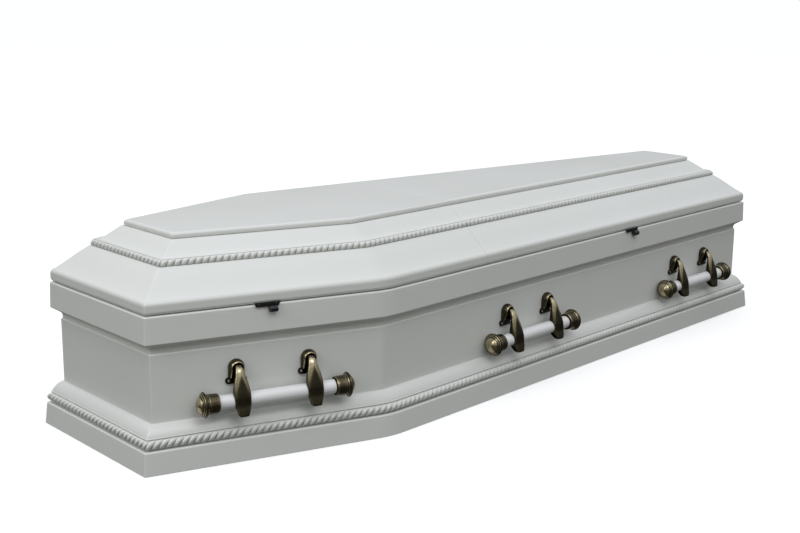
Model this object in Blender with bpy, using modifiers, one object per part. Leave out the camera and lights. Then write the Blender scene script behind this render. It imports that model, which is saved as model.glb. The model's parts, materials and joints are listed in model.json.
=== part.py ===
# White wooden coffin: a six-sided box on a plinth, a raised lid in two lift-off
# sections, rope mouldings, two catches a side and six swing-bar handles.
# Metres, +Z up, +X towards the foot end. The origin is under the middle of the plinth.

import math

import bmesh
import bpy
from mathutils import Matrix, Vector

# Plan, measured along the plinth's bottom edge
plinth_length = 2.050
head_width = 0.414
shoulder_width = 0.697
foot_width = 0.426
shoulder_station = 0.516        # from the head end to the widest place
soft_bend = 0.180               # shoulder bend of the mouldings, as a radius at the plinth's edge
crisp_bend = 0.080              # shoulder bend of the side panels, measured the same way
least_bend = 0.002
bend_steps = 3
split_station = 0.848           # from the head end to the joint between the lid's two sections

# Air between pieces that touch
gap = 0.0003

# Heights, each stacked on the one before it
plinth_height = 0.0476
base_rope_height = 0.0222
thumb_height = 0.0247
panel_height = 0.1408
cove_height = 0.0237
band_height = 0.0542
shadow_gap = 0.0058             # dark line between the band and the lid
slab_height = 0.0216
apron_rise = 0.0524
lid_rope_height = 0.0144
upper_rise = 0.0276
plate_thickness = 0.0130

# Thicknesses of the boards
floor_thickness = 0.018
wall_thickness = 0.020
lid_board = 0.018

# Insets of the faces, from the plinth's bottom edge inwards
plinth_batter = 0.0044
fillet_inset = 0.0125
panel_inset = 0.0355
band_inset = 0.0186
band_batter = 0.0014
slab_inset = 0.0217
apron_top_inset = 0.0890
ledge_inset = 0.1060
slope_top_inset = 0.1430
plate_inset = 0.1470
shelf_width = 0.0240            # inner ledge of the apron that carries the upper slope
slope_rim = 0.0220              # flat top of the upper slope that carries the plate

# Small edges
plinth_arris = 0.0020
band_arris = 0.0015
panel_round = 0.0035
slab_arris = 0.0030
plate_arris = 0.0045
fillet_height = 0.0020
fillet_step = 0.0015
thumb_steps = 4
cove_steps = 4

# Rope mouldings
rope_pitch = 0.0140
rope_swell = 0.0050             # how far a strand stands out from the line between its two ends
base_rope_toe = 0.0085          # inset of the strands' lower ends
base_rope_head = 0.0145         # inset of their upper ends
base_rope_back = 0.0240
lid_rope_toe = 0.0025           # set back from the apron's top edge
lid_rope_head = 0.0055
lid_rope_fall = 0.0019          # slope of the ledge over the lid's rope
rope_back_every = 8             # strands between two points on a rope's straight back

# Handles: where their middles are along a panel's face, and their own sizes
head_handle_station = 0.252     # from the head corner of the panel
waist_handle_station = 0.4928   # from the shoulder
foot_handle_station = 1.2356    # from the shoulder
pivot_rise = 0.0955             # hinge axis above the panel's bottom edge
pivot_out = 0.0125              # hinge axis in front of the panel
arm_spread = 0.1560             # between the middles of the two arms
bar_radius = 0.0150
bar_drop = 0.0622               # bar's axis below the hinge axis
bar_standoff = 0.0282           # bar's axis in front of the panel
bar_length = 0.2494
bar_sides = 12
pin_radius = 0.0022
pin_sides = 6
run_clearance = 0.0003          # pin in its eye, and bar in its rings

# Arms
knuckle_radius = 0.0075
knuckle_half_width = 0.0062
leaf_half_width = 0.0172
leaf_foot_half_width = 0.0148
chin_half_width = 0.0095
ring_wall = 0.0030
leaf_ridge = 0.0024             # how far the leaf's centre ridge stands before its edges
chin_drop = 0.0102              # chin below the ring that holds the bar
level_slack = 0.000002          # rounding allowed where a height lies on a level

# Ears
ear_width = 0.0345              # at the panel
ear_mouth = 0.0260              # at the hood's front edge
ear_channel = 0.0210            # between the cheeks
ear_spare = 0.0035              # how far the cutting tools reach past the ear
ear_plate = 0.0025
ear_tongue_step = 0.0006        # tongue's thickness over the back plate's
ear_depth = 0.0165
ear_tongue = 0.0340             # tongue's lower end below the hinge axis
ear_cheek = 0.0240              # cheeks' lower end below the hinge axis
ear_cheek_foot = 0.0085         # cheeks' depth at their lower end
ear_steps = 6
lug_radius = 0.0068             # screw lugs, one at each side of the tongue
lug_spread = 0.0320             # between the middles of the two lugs
lug_drop = 0.0280               # their middles below the hinge axis
lug_thickness = 0.0037
lug_steps = 4

# End caps, as radii at distances from the cap's inner face
cap_length = 0.0459
cap_profile = (
    (0.0000, 0.0193),
    (0.0240, 0.0208),
    (0.0258, 0.0264),
    (0.0305, 0.0264),
    (0.0390, 0.0180),
)
cap_sides = 10

# Catches on the band, from the band's head corner and from its shoulder
head_catch_station = 0.250
foot_catch_station = 0.917
catch_length = 0.057            # along the plate's upper edge
catch_slant = 0.005             # each end's lower corner back from its upper corner
catch_height = 0.0094
catch_thickness = 0.003
catch_drop = 0.0024             # plate's lower edge below the band's top edge
knob_length = 0.018
knob_radius = 0.0056
knob_shift = 0.014              # knob's middle from the plate's middle, towards the foot
knob_overlap = 0.0016
knob_sides = 8

# Levels that follow from the heights
rope_floor = plinth_height + gap
rope_top = plinth_height + base_rope_height
panel_bottom = rope_top + thumb_height
panel_top = panel_bottom + panel_height
band_bottom = panel_top + cove_height
band_top = band_bottom + band_height
lid_bottom = band_top + shadow_gap
slab_top = lid_bottom + slab_height
apron_top = slab_top + apron_rise
ledge_top = apron_top + lid_rope_height
slope_top = ledge_top + upper_rise
lid_top = slope_top + plate_thickness
wall_inner = panel_inset + wall_thickness
split_x = split_station - plinth_length / 2
pivot_height = panel_bottom + pivot_rise

# Plan corners of the near side, and the outward direction of each side
head_corner = Vector((-plinth_length / 2, -head_width / 2))
shoulder_corner = Vector((-plinth_length / 2 + shoulder_station, -shoulder_width / 2))
foot_corner = Vector((plinth_length / 2, -foot_width / 2))


def facing(start, end):
    """Outward direction of a near side that runs from start to end."""
    run = (end - start).normalized()
    return Vector((run.y, -run.x))


head_end = Vector((-1.0, 0.0))
foot_end = Vector((1.0, 0.0))
head_side = facing(head_corner, shoulder_corner)
foot_side = facing(shoulder_corner, foot_corner)


def mitre(corner, side_a, side_b, inset):
    """A corner after both its sides have moved inwards by inset."""
    return corner - (side_a + side_b) * (inset / (1 + side_a.dot(side_b)))


def shoulder_arc(inset, bend, steps):
    """Points round the near shoulder: an arc that keeps its centre as the inset grows."""
    radius = max(bend - inset, least_bend)
    centre = mitre(shoulder_corner, head_side, foot_side, inset + radius)
    first = math.atan2(head_side.y, head_side.x)
    last = math.atan2(foot_side.y, foot_side.x)
    angles = [first + (last - first) * k / steps for k in range(steps + 1)]
    return [centre + Vector((math.cos(a), math.sin(a))) * radius for a in angles]


def near_side(inset, bend, steps=bend_steps):
    """Near edge of the plan from head to foot, with its shoulder bend."""
    first = mitre(head_corner, head_end, head_side, inset)
    last = mitre(foot_corner, foot_side, foot_end, inset)
    return [first, *shoulder_arc(inset, bend, steps), last]


def mirrored(points):
    """The same points on the far side, in the opposite order."""
    return [Vector((p.x, -p.y)) for p in reversed(points)]


def split_point(inset, end):
    """Where the near foot side, moved inwards, meets one face of the joint across the lid."""
    x = split_x + (-gap / 2 if end == "head" else gap / 2)
    corner = mitre(foot_corner, foot_side, foot_end, inset)
    return Vector((x, corner.y - foot_side.x / foot_side.y * (x - corner.x)))


def section_side(inset, bend, end, steps=bend_steps):
    """Near edge of one lid section, from the joint to the head or foot corner."""
    side = near_side(inset, bend, steps)
    if end == "head":
        return [split_point(inset, end), *reversed(side[:-1])]
    return [split_point(inset, end), side[-1]]


def plan(inset, bend, end=None):
    """The whole plan outline, or the open outline of one lid section."""
    if end is None:
        side = near_side(inset, bend)
    else:
        side = section_side(inset, bend, end)
    return side + mirrored(side)


def new_collection(name):
    collection = bpy.data.collections.new(name)
    bpy.context.scene.collection.children.link(collection)
    return collection


def new_material(name, colour, roughness, metallic=0.0):
    material = bpy.data.materials.new(name)
    material.use_nodes = True
    shader = material.node_tree.nodes["Principled BSDF"]
    shader.inputs["Base Color"].default_value = (*colour, 1.0)
    shader.inputs["Roughness"].default_value = roughness
    shader.inputs["Metallic"].default_value = metallic
    material.diffuse_color = (*colour, 1.0)
    return material


def finish_mesh(bm, name):
    """Turn a bmesh that bounds one solid into a mesh with its faces pointing out."""
    bmesh.ops.recalc_face_normals(bm, faces=bm.faces)
    mesh = bpy.data.meshes.new(name)
    bm.to_mesh(mesh)
    bm.free()
    return mesh


def add_object(name, mesh, material, collection):
    piece = bpy.data.objects.new(name, mesh)
    if not mesh.materials:
        mesh.materials.append(material)
    collection.objects.link(piece)
    return piece


def moulding(name, profile, material, end=None):
    """Sweep a closed profile of (inset, height, bend) round the plan, or round one lid
    section, whose two ends at the joint are then closed with flat faces."""
    bm = bmesh.new()
    rows = []
    for inset, height, bend in profile:
        rows.append([bm.verts.new((p.x, p.y, height)) for p in plan(inset, bend, end)])
    columns = len(rows[0])
    steps = columns if end is None else columns - 1
    for lower, upper in zip(rows, rows[1:] + rows[:1]):
        for i in range(steps):
            j = (i + 1) % columns
            bm.faces.new((lower[i], lower[j], upper[j], upper[i]))
    if end is not None:
        bm.faces.new([row[0] for row in rows])
        bm.faces.new([row[-1] for row in reversed(rows)])
    return add_object(name, finish_mesh(bm, name), material, coffin)


def plate(name, profile, material, end=None):
    """A board whose edge follows a profile of (inset, height, bend), flat above and below."""
    bm = bmesh.new()
    rows = []
    for inset, height, bend in profile:
        rows.append([bm.verts.new((p.x, p.y, height)) for p in plan(inset, bend, end)])
    count = len(rows[0])
    for lower, upper in zip(rows, rows[1:]):
        for i in range(count):
            j = (i + 1) % count
            bm.faces.new((lower[i], lower[j], upper[j], upper[i]))
    bm.faces.new(rows[0])
    bm.faces.new(rows[-1])
    return add_object(name, finish_mesh(bm, name), material, coffin)


def quarter(start, end, steps):
    """Quarter of an ellipse that leaves start upwards and meets end level. Ends included."""
    points = []
    for k in range(steps + 1):
        turn = math.pi / 2 * k / steps
        inset = start[0] + (end[0] - start[0]) * (1 - math.cos(turn))
        height = start[1] + (end[1] - start[1]) * math.sin(turn)
        points.append((inset, height))
    return points


def walk(points, count):
    """Points at equal steps along a line of points, both ends included."""
    lengths = [0.0]
    for a, b in zip(points, points[1:]):
        lengths.append(lengths[-1] + (b - a).length)
    walked = []
    leg = 0
    for k in range(count + 1):
        target = lengths[-1] * k / count
        while leg < len(points) - 2 and lengths[leg + 1] < target:
            leg += 1
        share = (target - lengths[leg]) / (lengths[leg + 1] - lengths[leg])
        walked.append(points[leg].lerp(points[leg + 1], min(share, 1.0)))
    return walked


def rope_runs(inset, end):
    """The stretches of a rope between mitred corners, for the whole plan or one lid section."""
    fine = bend_steps * 4
    if end is None:
        side = near_side(inset, soft_bend, fine)
    else:
        side = section_side(inset, soft_bend, end, fine)
    far = mirrored(side)
    runs = [side, [side[-1], far[0]], far]
    if end is None:
        runs.append([far[-1], side[0]])
    if end == "head":
        # Run it the same way round as the rest, so that its strands lean alike
        runs = [list(reversed(run)) for run in reversed(runs)]
    return runs


def rope_row(inset, height, end, counts):
    """One row of a rope's points, a strand apart, with no point twice."""
    row = []
    for run, count in zip(rope_runs(inset, end), counts):
        row += walk(run, count)[:-1]
    if end is not None:
        row.append(rope_runs(inset, end)[-1][-1])
    return [Vector((p.x, p.y, height)) for p in row]


def rope(name, toe, head, back_inset, back_height, material, end=None):
    """A strip of leaning strands. Each strand is a low bump over the cell between two
    slanting valleys, which run from one station of the toe to the next of the head."""
    runs = rope_runs(toe[0], end)
    counts = [max(2, round(sum((b - a).length for a, b in zip(r, r[1:])) / rope_pitch)) for r in runs]
    bm = bmesh.new()
    middle = ((toe[0] + head[0]) / 2 - rope_swell, (toe[1] + head[1]) / 2)
    toes = [bm.verts.new(p) for p in rope_row(*toe, end, counts)]
    tops = [bm.verts.new(p) for p in rope_row(*head, end, counts)]
    swells = rope_row(*middle, end, counts)
    low_line = rope_row(back_inset, toe[1], end, counts)
    high_line = rope_row(back_inset, back_height, end, counts)
    count = len(toes)
    closed = end is None

    def wrap(k):
        return k % count if closed else k

    # The front: four faces for each strand
    last = count if closed else count - 2
    for i in range(last):
        cell = (toes[i], toes[wrap(i + 1)], tops[wrap(i + 2)], tops[wrap(i + 1)])
        crown = bm.verts.new(swells[wrap(i + 1)])
        for a, b in zip(cell, (*cell[1:], cell[0])):
            bm.faces.new((a, b, crown))
    if not closed:
        bm.faces.new((toes[0], tops[1], tops[0]))
        bm.faces.new((toes[-2], toes[-1], tops[-1]))

    # The back: points only where the line turns, and every few strands
    keep = [k for k in range(count) if turns(low_line, k, closed) or k % rope_back_every == 0]
    low_back = {k: bm.verts.new(low_line[k]) for k in keep}
    high_back = {k: bm.verts.new(high_line[k]) for k in keep}
    pairs = list(zip(keep, keep[1:]))
    if closed:
        pairs.append((keep[-1], keep[0]))
    for a, b in pairs:
        stop = b if b > a else b + count
        for front, back in ((toes, low_back), (tops, high_back)):
            for k in range(a, stop):
                bm.faces.new((front[wrap(k)], front[wrap(k + 1)], back[a]))
            bm.faces.new((front[b], back[b], back[a]))
        bm.faces.new((low_back[a], low_back[b], high_back[b], high_back[a]))
    if not closed:
        for k in (0, count - 1):
            bm.faces.new((toes[k], tops[k], high_back[k], low_back[k]))
    return add_object(name, finish_mesh(bm, name), material, coffin)


def turns(line, k, closed):
    """Whether a line of points ends or changes direction at point k."""
    if not closed and k in (0, len(line) - 1):
        return True
    before = line[k] - line[k - 1]
    after = line[(k + 1) % len(line)] - line[k]
    return before.angle(after) > math.radians(0.05)


def prism(bm, outline, start, end):
    """Extrude an outline of (x, z) points from y = start to y = end."""
    face = bm.faces.new([bm.verts.new((x, start, z)) for x, z in outline])
    grown = bmesh.ops.extrude_face_region(bm, geom=[face])
    moved = [g for g in grown["geom"] if isinstance(g, bmesh.types.BMVert)]
    bmesh.ops.translate(bm, verts=moved, vec=(0, end - start, 0))


def prism_object(name, outline, start, end):
    bm = bmesh.new()
    prism(bm, outline, start, end)
    return add_object(name, finish_mesh(bm, name), bronze, cutters)


def side_prism_object(name, outline, width):
    """A side view of (distance out, height) points, extruded across the middle plane."""
    bm = bmesh.new()
    prism(bm, [(out_to_y(out), height) for out, height in outline], -width / 2, width / 2)
    bmesh.ops.rotate(bm, matrix=Matrix.Rotation(math.pi / 2, 3, "Z"), verts=bm.verts)
    return add_object(name, finish_mesh(bm, name), bronze, cutters)


def rod_object(name, radius, length, sides, centre):
    """A rod along X with flat ends."""
    bm = bmesh.new()
    place = Matrix.Translation(centre) @ Matrix.Rotation(math.pi / 2, 4, "Y")
    bmesh.ops.create_cone(
        bm, cap_ends=True, segments=sides, radius1=radius, radius2=radius, depth=length, matrix=place
    )
    return add_object(name, finish_mesh(bm, name), bronze, cutters)


def carved(name, blank, steps):
    """The mesh of a blank after Boolean steps of (operation, tool), with the tools put away."""
    for operation, tool in steps:
        cut = blank.modifiers.new(operation.lower(), "BOOLEAN")
        cut.operation = operation
        cut.object = tool
        cut.solver = "EXACT"
        tool.hide_render = True
        tool.display_type = "WIRE"
    bpy.context.view_layer.update()
    evaluated = blank.evaluated_get(bpy.context.evaluated_depsgraph_get())
    mesh = bpy.data.meshes.new_from_object(evaluated)
    mesh.name = name
    for piece in [blank] + [tool for _, tool in steps]:
        bpy.data.objects.remove(piece)
    return mesh


# In a handle's own frame the hinge axis is X, -Y faces out of the panel and +Z is up.
# The functions below take points as (distance out of the panel, height over the axis).
def out_to_y(out):
    return pivot_out - out


def arch(half_width, bottom):
    """An arch centred on the hinge axis, with straight legs down to bottom."""
    points = [(half_width, bottom)]
    for k in range(ear_steps + 1):
        turn = math.pi * k / ear_steps
        points.append((half_width * math.cos(turn), half_width * math.sin(turn)))
    points.append((-half_width, bottom))
    return points


def lug_outline():
    """Bar with round ends whose middles are the two screw lugs."""
    points = []
    for side in (1, -1):
        for k in range(lug_steps + 1):
            turn = math.pi * (k / lug_steps - 1 / 2)
            out = lug_spread / 2 + lug_radius * math.cos(turn)
            points.append((side * out, side * lug_radius * math.sin(turn) - lug_drop))
    return points


def ear_mesh():
    """Arched hood on a back plate, open in front for the arm, with a pin across it. It
    narrows towards its mouth, and its cheeks taper downwards and end above a flat tongue
    with a screw lug at each side."""
    half = ear_width / 2
    inner = ear_channel / 2
    beyond = ear_depth + ear_spare
    below = ear_tongue + ear_spare
    blank = prism_object("ear_blank", arch(half, -ear_tongue), out_to_y(ear_depth), out_to_y(gap))
    for vertex in blank.data.vertices:
        if vertex.co.y < out_to_y(ear_depth / 2):
            vertex.co.x *= ear_mouth / ear_width
            if vertex.co.z > 0:
                vertex.co.z *= ear_mouth / ear_width
    channel = prism_object("ear_channel", arch(inner, -below), out_to_y(beyond), out_to_y(ear_plate))
    tongue = ear_plate + ear_tongue_step
    start = ear_spare * ear_cheek / (ear_depth - ear_cheek_foot)
    front = [
        (beyond, start),
        (ear_cheek_foot, -ear_cheek),
        (tongue, -ear_cheek),
        (tongue, -below),
        (beyond, -below),
    ]
    taper = side_prism_object("ear_taper", front, ear_width + ear_spare)
    pin = rod_object("ear_pin", pin_radius, (ear_channel + ear_mouth) / 2, pin_sides, Vector())
    lugs = prism_object("ear_lugs", lug_outline(), out_to_y(lug_thickness), out_to_y(gap))
    steps = [("DIFFERENCE", channel), ("DIFFERENCE", taper), ("UNION", lugs), ("UNION", pin)]
    return carved("ear", blank, steps)


def on_circle(centre, radius, degrees):
    turn = math.radians(degrees)
    return (centre[0] + radius * math.cos(turn), centre[1] + radius * math.sin(turn))


def arm_chains():
    """Side view of an arm as two chains of (out, height) points from top to bottom. The front
    swells to a brow and slopes out to the chin; the back runs round the ring that holds the bar."""
    ring = bar_radius + ring_wall
    knuckle = (pivot_out, 0.0)
    seat = (bar_standoff, -bar_drop)
    shoulder = -knuckle_radius
    leaf_top = -bar_drop + ring * 0.91
    leaf_foot = -bar_drop - ring * 0.95
    chin = -bar_drop - ring - chin_drop
    nose = bar_standoff + ring
    front = [
        on_circle(knuckle, knuckle_radius, 30),
        (pivot_out + knuckle_radius * 1.67, -knuckle_radius * 0.13),
        (pivot_out + knuckle_radius * 2.13, shoulder),
        (bar_standoff + ring * 0.39, (shoulder + leaf_top) / 2),
        (nose - ring * 0.26, leaf_top),
        (nose - ring * 0.11, -bar_drop + ring * 0.32),
        (nose - ring * 0.02, leaf_foot),
        (nose + ring * 0.17, chin),
    ]
    back = [
        on_circle(knuckle, knuckle_radius, 90),
        on_circle(knuckle, knuckle_radius, 150),
        on_circle(knuckle, knuckle_radius, 210),
        (pivot_out + knuckle_radius, shoulder),
        (bar_standoff - ring * 0.13, (shoulder + leaf_top) / 2),
        (bar_standoff - ring * 0.41, leaf_top),
        on_circle(seat, ring, 155),
        on_circle(seat, ring, 195),
        on_circle(seat, ring, 232),
        (bar_standoff - ring * 0.3, leaf_foot),
        (nose - ring * 0.25, chin),
    ]
    return front, back


def leaf_width(height):
    """Half the arm's width at a height: straight stretches between four levels."""
    ring = bar_radius + ring_wall
    levels = [
        (-knuckle_radius, knuckle_half_width),
        (-bar_drop + ring * 0.91, leaf_half_width),
        (-bar_drop - ring * 0.95, leaf_foot_half_width),
        (-bar_drop - ring - chin_drop, chin_half_width),
    ]
    if height >= levels[0][0]:
        return knuckle_half_width
    for (high, wide), (low, narrow) in zip(levels, levels[1:]):
        if height >= low - level_slack:
            return wide + (narrow - wide) * (high - height) / (high - low)
    return chin_half_width


def arm_mesh():
    """Leaf-shaped arm with a centre ridge in front, bored for the pin and for the bar."""
    front, back = arm_chains()
    bm = bmesh.new()

    def vert(side, point, ridge=0.0):
        out, height = point
        return bm.verts.new((side * leaf_width(height), out_to_y(out + ridge), height))

    fronts = {}
    for side in (-1, 0, 1):
        fronts[side] = []
        for k, point in enumerate(front):
            raised = side == 0 and 1 < k < len(front) - 1
            fronts[side].append(vert(side, point, leaf_ridge if raised else 0.0))
    backs = {side: [vert(side, point) for point in back] for side in (-1, 1)}
    for k in range(len(front) - 1):
        for a, b in ((-1, 0), (0, 1)):
            bm.faces.new((fronts[a][k], fronts[b][k], fronts[b][k + 1], fronts[a][k + 1]))
    for k in range(len(back) - 1):
        bm.faces.new((backs[-1][k], backs[-1][k + 1], backs[1][k + 1], backs[1][k]))
    for k in (0, -1):
        bm.faces.new((fronts[-1][k], fronts[0][k], fronts[1][k], backs[1][k], backs[-1][k]))
    # Each flank is flat between two levels: knuckle, neck, leaf round the bar, chin
    levels = ((0, 2, 0, 3), (2, 4, 3, 5), (4, 6, 5, 9), (6, 7, 9, 10))
    for side in (-1, 1):
        for first, last, top, bottom in levels:
            loop = fronts[side][first:last + 1] + backs[side][top:bottom + 1][::-1]
            bm.faces.new(loop)
    blank = add_object("arm_blank", finish_mesh(bm, "arm_blank"), bronze, cutters)
    wide = leaf_half_width * 3
    # The flats of the eye, not its corners, keep the clearance to the turning pin
    eye_radius = (pin_radius + run_clearance) / math.cos(math.pi / pin_sides)
    eye = rod_object("arm_eye", eye_radius, wide, pin_sides, Vector())
    seat = Vector((0, out_to_y(bar_standoff), -bar_drop))
    bore = rod_object("arm_bore", bar_radius + run_clearance, wide, bar_sides, seat)
    return carved("arm", blank, [("DIFFERENCE", eye), ("DIFFERENCE", bore)])


def bar_mesh():
    bm = bmesh.new()
    bmesh.ops.create_cone(
        bm,
        cap_ends=True,
        segments=bar_sides,
        radius1=bar_radius,
        radius2=bar_radius,
        depth=bar_length,
        matrix=Matrix.Rotation(math.pi / 2, 4, "Y"),
    )
    return finish_mesh(bm, "bar")


def cap_mesh():
    """Turned cap, its tip along +Z: a profile that the Screw modifier spins round Z."""
    points = [(0.0, cap_length)]
    points += [(radius, height) for height, radius in reversed(cap_profile)]
    points.append((0.0, 0.0))
    bm = bmesh.new()
    verts = [bm.verts.new((radius, 0, height)) for radius, height in points]
    for a, b in zip(verts, verts[1:]):
        bm.edges.new((a, b))
    mesh = bpy.data.meshes.new("cap_profile")
    bm.to_mesh(mesh)
    bm.free()
    blank = add_object("cap_blank", mesh, bronze, cutters)
    spin = blank.modifiers.new("spin", "SCREW")
    spin.axis = "Z"
    spin.steps = cap_sides
    spin.render_steps = cap_sides
    spin.use_merge_vertices = True
    spin.merge_threshold = 0.0001
    return carved("cap", blank, [])


def catch_mesh():
    """Flat plate over the joint of box and lid, with a small barrel knob below one end.
    X runs along the side, -Y faces out, and z = 0 is the band's top edge."""
    low = -catch_drop
    high = low + catch_height
    half = catch_length / 2
    foot = half - catch_slant
    outline = [(-foot, low), (foot, low), (half, high), (-half, high)]
    blank = prism_object("catch_blank", outline, -gap - catch_thickness, -gap)
    centre = Vector((knob_shift, -gap - knob_radius, low + knob_overlap - knob_radius))
    knob = rod_object("catch_knob", knob_radius, knob_length, knob_sides, centre)
    return carved("catch", blank, [("UNION", knob)])


def panel_frame(corner_a, corner_b, inset, station, height):
    """Frame on a near side's face: X along the side towards the foot, -Y out of it."""
    run = (corner_b - corner_a).normalized()
    spot = corner_a + run * station
    turn = math.atan2(run.y, run.x)
    return Matrix.Translation((spot.x, spot.y, height)) @ Matrix.Rotation(turn, 4, "Z")


def far_frame(frame):
    """The matching frame on the far side, still with -Y out of the face."""
    spot = frame.to_translation()
    turn = math.pi - frame.to_euler().z
    return Matrix.Translation((spot.x, -spot.y, spot.z)) @ Matrix.Rotation(turn, 4, "Z")


def handle(name, frame, meshes):
    """Two fixed ears on a panel, and a pivot that carries two arms, a bar and two caps."""
    lift = Matrix.Translation((0, -pivot_out, 0))
    pivot = bpy.data.objects.new(f"pivot_{name}", None)
    coffin.objects.link(pivot)
    pivot.matrix_world = frame @ lift
    for letter, side in (("a", -1), ("b", 1)):
        ear = add_object(f"ear_{name}_{letter}", meshes["ear"], bronze, coffin)
        ear.matrix_world = frame @ lift @ Matrix.Translation((side * arm_spread / 2, 0, 0))
        arm = add_object(f"arm_{name}_{letter}", meshes["arm"], bronze, coffin)
        arm.parent = pivot
        arm.location = (side * arm_spread / 2, 0, 0)
        cap = add_object(f"cap_{name}_{letter}", meshes["cap"], bronze, coffin)
        cap.parent = pivot
        cap.location = (side * (bar_length / 2 + gap), pivot_out - bar_standoff, -bar_drop)
        cap.rotation_euler = (0, side * math.pi / 2, 0)
    bar = add_object(f"bar_{name}", meshes["bar"], white_bar, coffin)
    bar.parent = pivot
    bar.location = (0, pivot_out - bar_standoff, -bar_drop)


def build_box():
    """Floor, plinth, rope, thumb moulding, sides and band."""
    inner = panel_inset - gap
    plate(
        "floor_board",
        [(panel_inset, 0, crisp_bend), (panel_inset, floor_thickness, crisp_bend)],
        white_wood,
    )
    moulding(
        "base_plinth",
        [
            (0, 0, soft_bend),
            (plinth_batter, plinth_height - plinth_arris, soft_bend),
            (plinth_batter + plinth_arris, plinth_height, soft_bend),
            (inner, plinth_height, crisp_bend),
            (inner, 0, crisp_bend),
        ],
        white_wood,
    )
    rope(
        "base_rope",
        (base_rope_toe, rope_floor),
        (base_rope_head, rope_top),
        base_rope_back,
        rope_top,
        white_wood,
    )
    seat = base_rope_back + gap
    thumb = quarter(
        (fillet_inset + fillet_step, rope_top + gap + fillet_height),
        (inner, panel_bottom),
        thumb_steps,
    )
    moulding(
        "base_moulding",
        [
            (inner, rope_floor, crisp_bend),
            (seat, rope_floor, soft_bend),
            (seat, rope_top + gap, soft_bend),
            (fillet_inset, rope_top + gap, soft_bend),
            (fillet_inset, rope_top + gap + fillet_height, soft_bend),
            *[(inset, height, soft_bend) for inset, height in thumb[:-1]],
            (inner, panel_bottom, crisp_bend),
        ],
        white_wood,
    )
    rebate = panel_inset + panel_round
    moulding(
        "body_sides",
        [
            (wall_inner, floor_thickness + gap, crisp_bend),
            (panel_inset, floor_thickness + gap, crisp_bend),
            (panel_inset, panel_top - panel_round, crisp_bend),
            (rebate, panel_top, crisp_bend),
            (rebate, lid_bottom - gap, crisp_bend),
            (wall_inner, lid_bottom - gap, crisp_bend),
        ],
        white_wood,
    )
    cove = quarter((panel_inset, panel_top + gap), (band_inset + band_batter, band_bottom), cove_steps)
    moulding(
        "rim_band",
        [
            (rebate - gap, panel_top + gap, crisp_bend),
            *[(inset, height, soft_bend) for inset, height in cove],
            (band_inset, band_bottom + band_batter, soft_bend),
            (band_inset + band_batter, band_top - band_arris, soft_bend),
            (band_inset + band_batter + band_arris, band_top, soft_bend),
            (rebate - gap, band_top, crisp_bend),
        ],
        white_wood,
    )


def build_lid(end):
    """One lift-off section of the lid: apron, rope, upper slope and top plate, hollow below."""
    shelf = ledge_inset + shelf_width
    moulding(
        f"lid_{end}_apron",
        [
            (wall_inner, lid_bottom, crisp_bend),
            (slab_inset, lid_bottom, soft_bend),
            (slab_inset, slab_top - slab_arris, soft_bend),
            (slab_inset + slab_arris, slab_top, soft_bend),
            (apron_top_inset, apron_top, soft_bend),
            (shelf, apron_top, soft_bend),
            (shelf, apron_top - lid_board, soft_bend),
            (wall_inner, lid_bottom + slab_height / 3, crisp_bend),
        ],
        white_wood,
        end,
    )
    rope(
        f"lid_{end}_rope",
        (apron_top_inset + lid_rope_toe, apron_top + gap),
        (apron_top_inset + lid_rope_head, ledge_top - lid_rope_fall),
        ledge_inset,
        ledge_top,
        white_wood,
        end,
    )
    rim = slope_top_inset + slope_rim
    moulding(
        f"lid_{end}_slope",
        [
            (ledge_inset + gap, apron_top + gap, soft_bend),
            (ledge_inset + gap, ledge_top, soft_bend),
            (slope_top_inset, slope_top, soft_bend),
            (rim, slope_top, soft_bend),
            (rim, slope_top - lid_board / 2, soft_bend),
            (shelf, apron_top + gap, soft_bend),
        ],
        white_wood,
        end,
    )
    plate(
        f"lid_{end}_top",
        [
            (plate_inset + plate_arris / 2, slope_top + gap, soft_bend),
            (plate_inset, slope_top + gap + plate_arris / 2, soft_bend),
            (plate_inset, lid_top - plate_arris, soft_bend),
            (plate_inset + plate_arris / 3, lid_top - plate_arris / 3, soft_bend),
            (plate_inset + plate_arris, lid_top, soft_bend),
        ],
        white_wood,
        end,
    )


def build_fittings():
    """The six handles and the four catches, the far side mirrored from the near one."""
    meshes = {"ear": ear_mesh(), "arm": arm_mesh(), "bar": bar_mesh(), "cap": cap_mesh()}
    catch = catch_mesh()
    face = [
        mitre(head_corner, head_end, head_side, panel_inset),
        mitre(shoulder_corner, head_side, foot_side, panel_inset),
        mitre(foot_corner, foot_side, foot_end, panel_inset),
    ]
    places = {
        "head": (face[0], face[1], head_handle_station),
        "waist": (face[1], face[2], waist_handle_station),
        "foot": (face[1], face[2], foot_handle_station),
    }
    for place, (start, stop, station) in places.items():
        near = panel_frame(start, stop, panel_inset, station, pivot_height)
        handle(f"near_{place}", near, meshes)
        handle(f"far_{place}", far_frame(near), meshes)
    face = [
        mitre(head_corner, head_end, head_side, band_inset),
        mitre(shoulder_corner, head_side, foot_side, band_inset),
        mitre(foot_corner, foot_side, foot_end, band_inset),
    ]
    places = {
        "head": (face[0], face[1], head_catch_station),
        "foot": (face[1], face[2], foot_catch_station),
    }
    for place, (start, stop, station) in places.items():
        near = panel_frame(start, stop, band_inset, station, band_top)
        for side, frame in (("near", near), ("far", far_frame(near))):
            piece = add_object(f"catch_{side}_{place}", catch, black_iron, coffin)
            piece.matrix_world = frame


for leftover in list(bpy.data.objects):
    bpy.data.objects.remove(leftover)

coffin = new_collection("coffin")
cutters = new_collection("cutters")
white_wood = new_material("white_lacquered_wood", (0.80, 0.81, 0.79), 0.35)
white_bar = new_material("white_lacquered_bar", (0.82, 0.82, 0.82), 0.30)
bronze = new_material("antique_bronze", (0.36, 0.28, 0.16), 0.35, 1.0)
black_iron = new_material("black_iron", (0.02, 0.02, 0.02), 0.45, 0.6)

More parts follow.
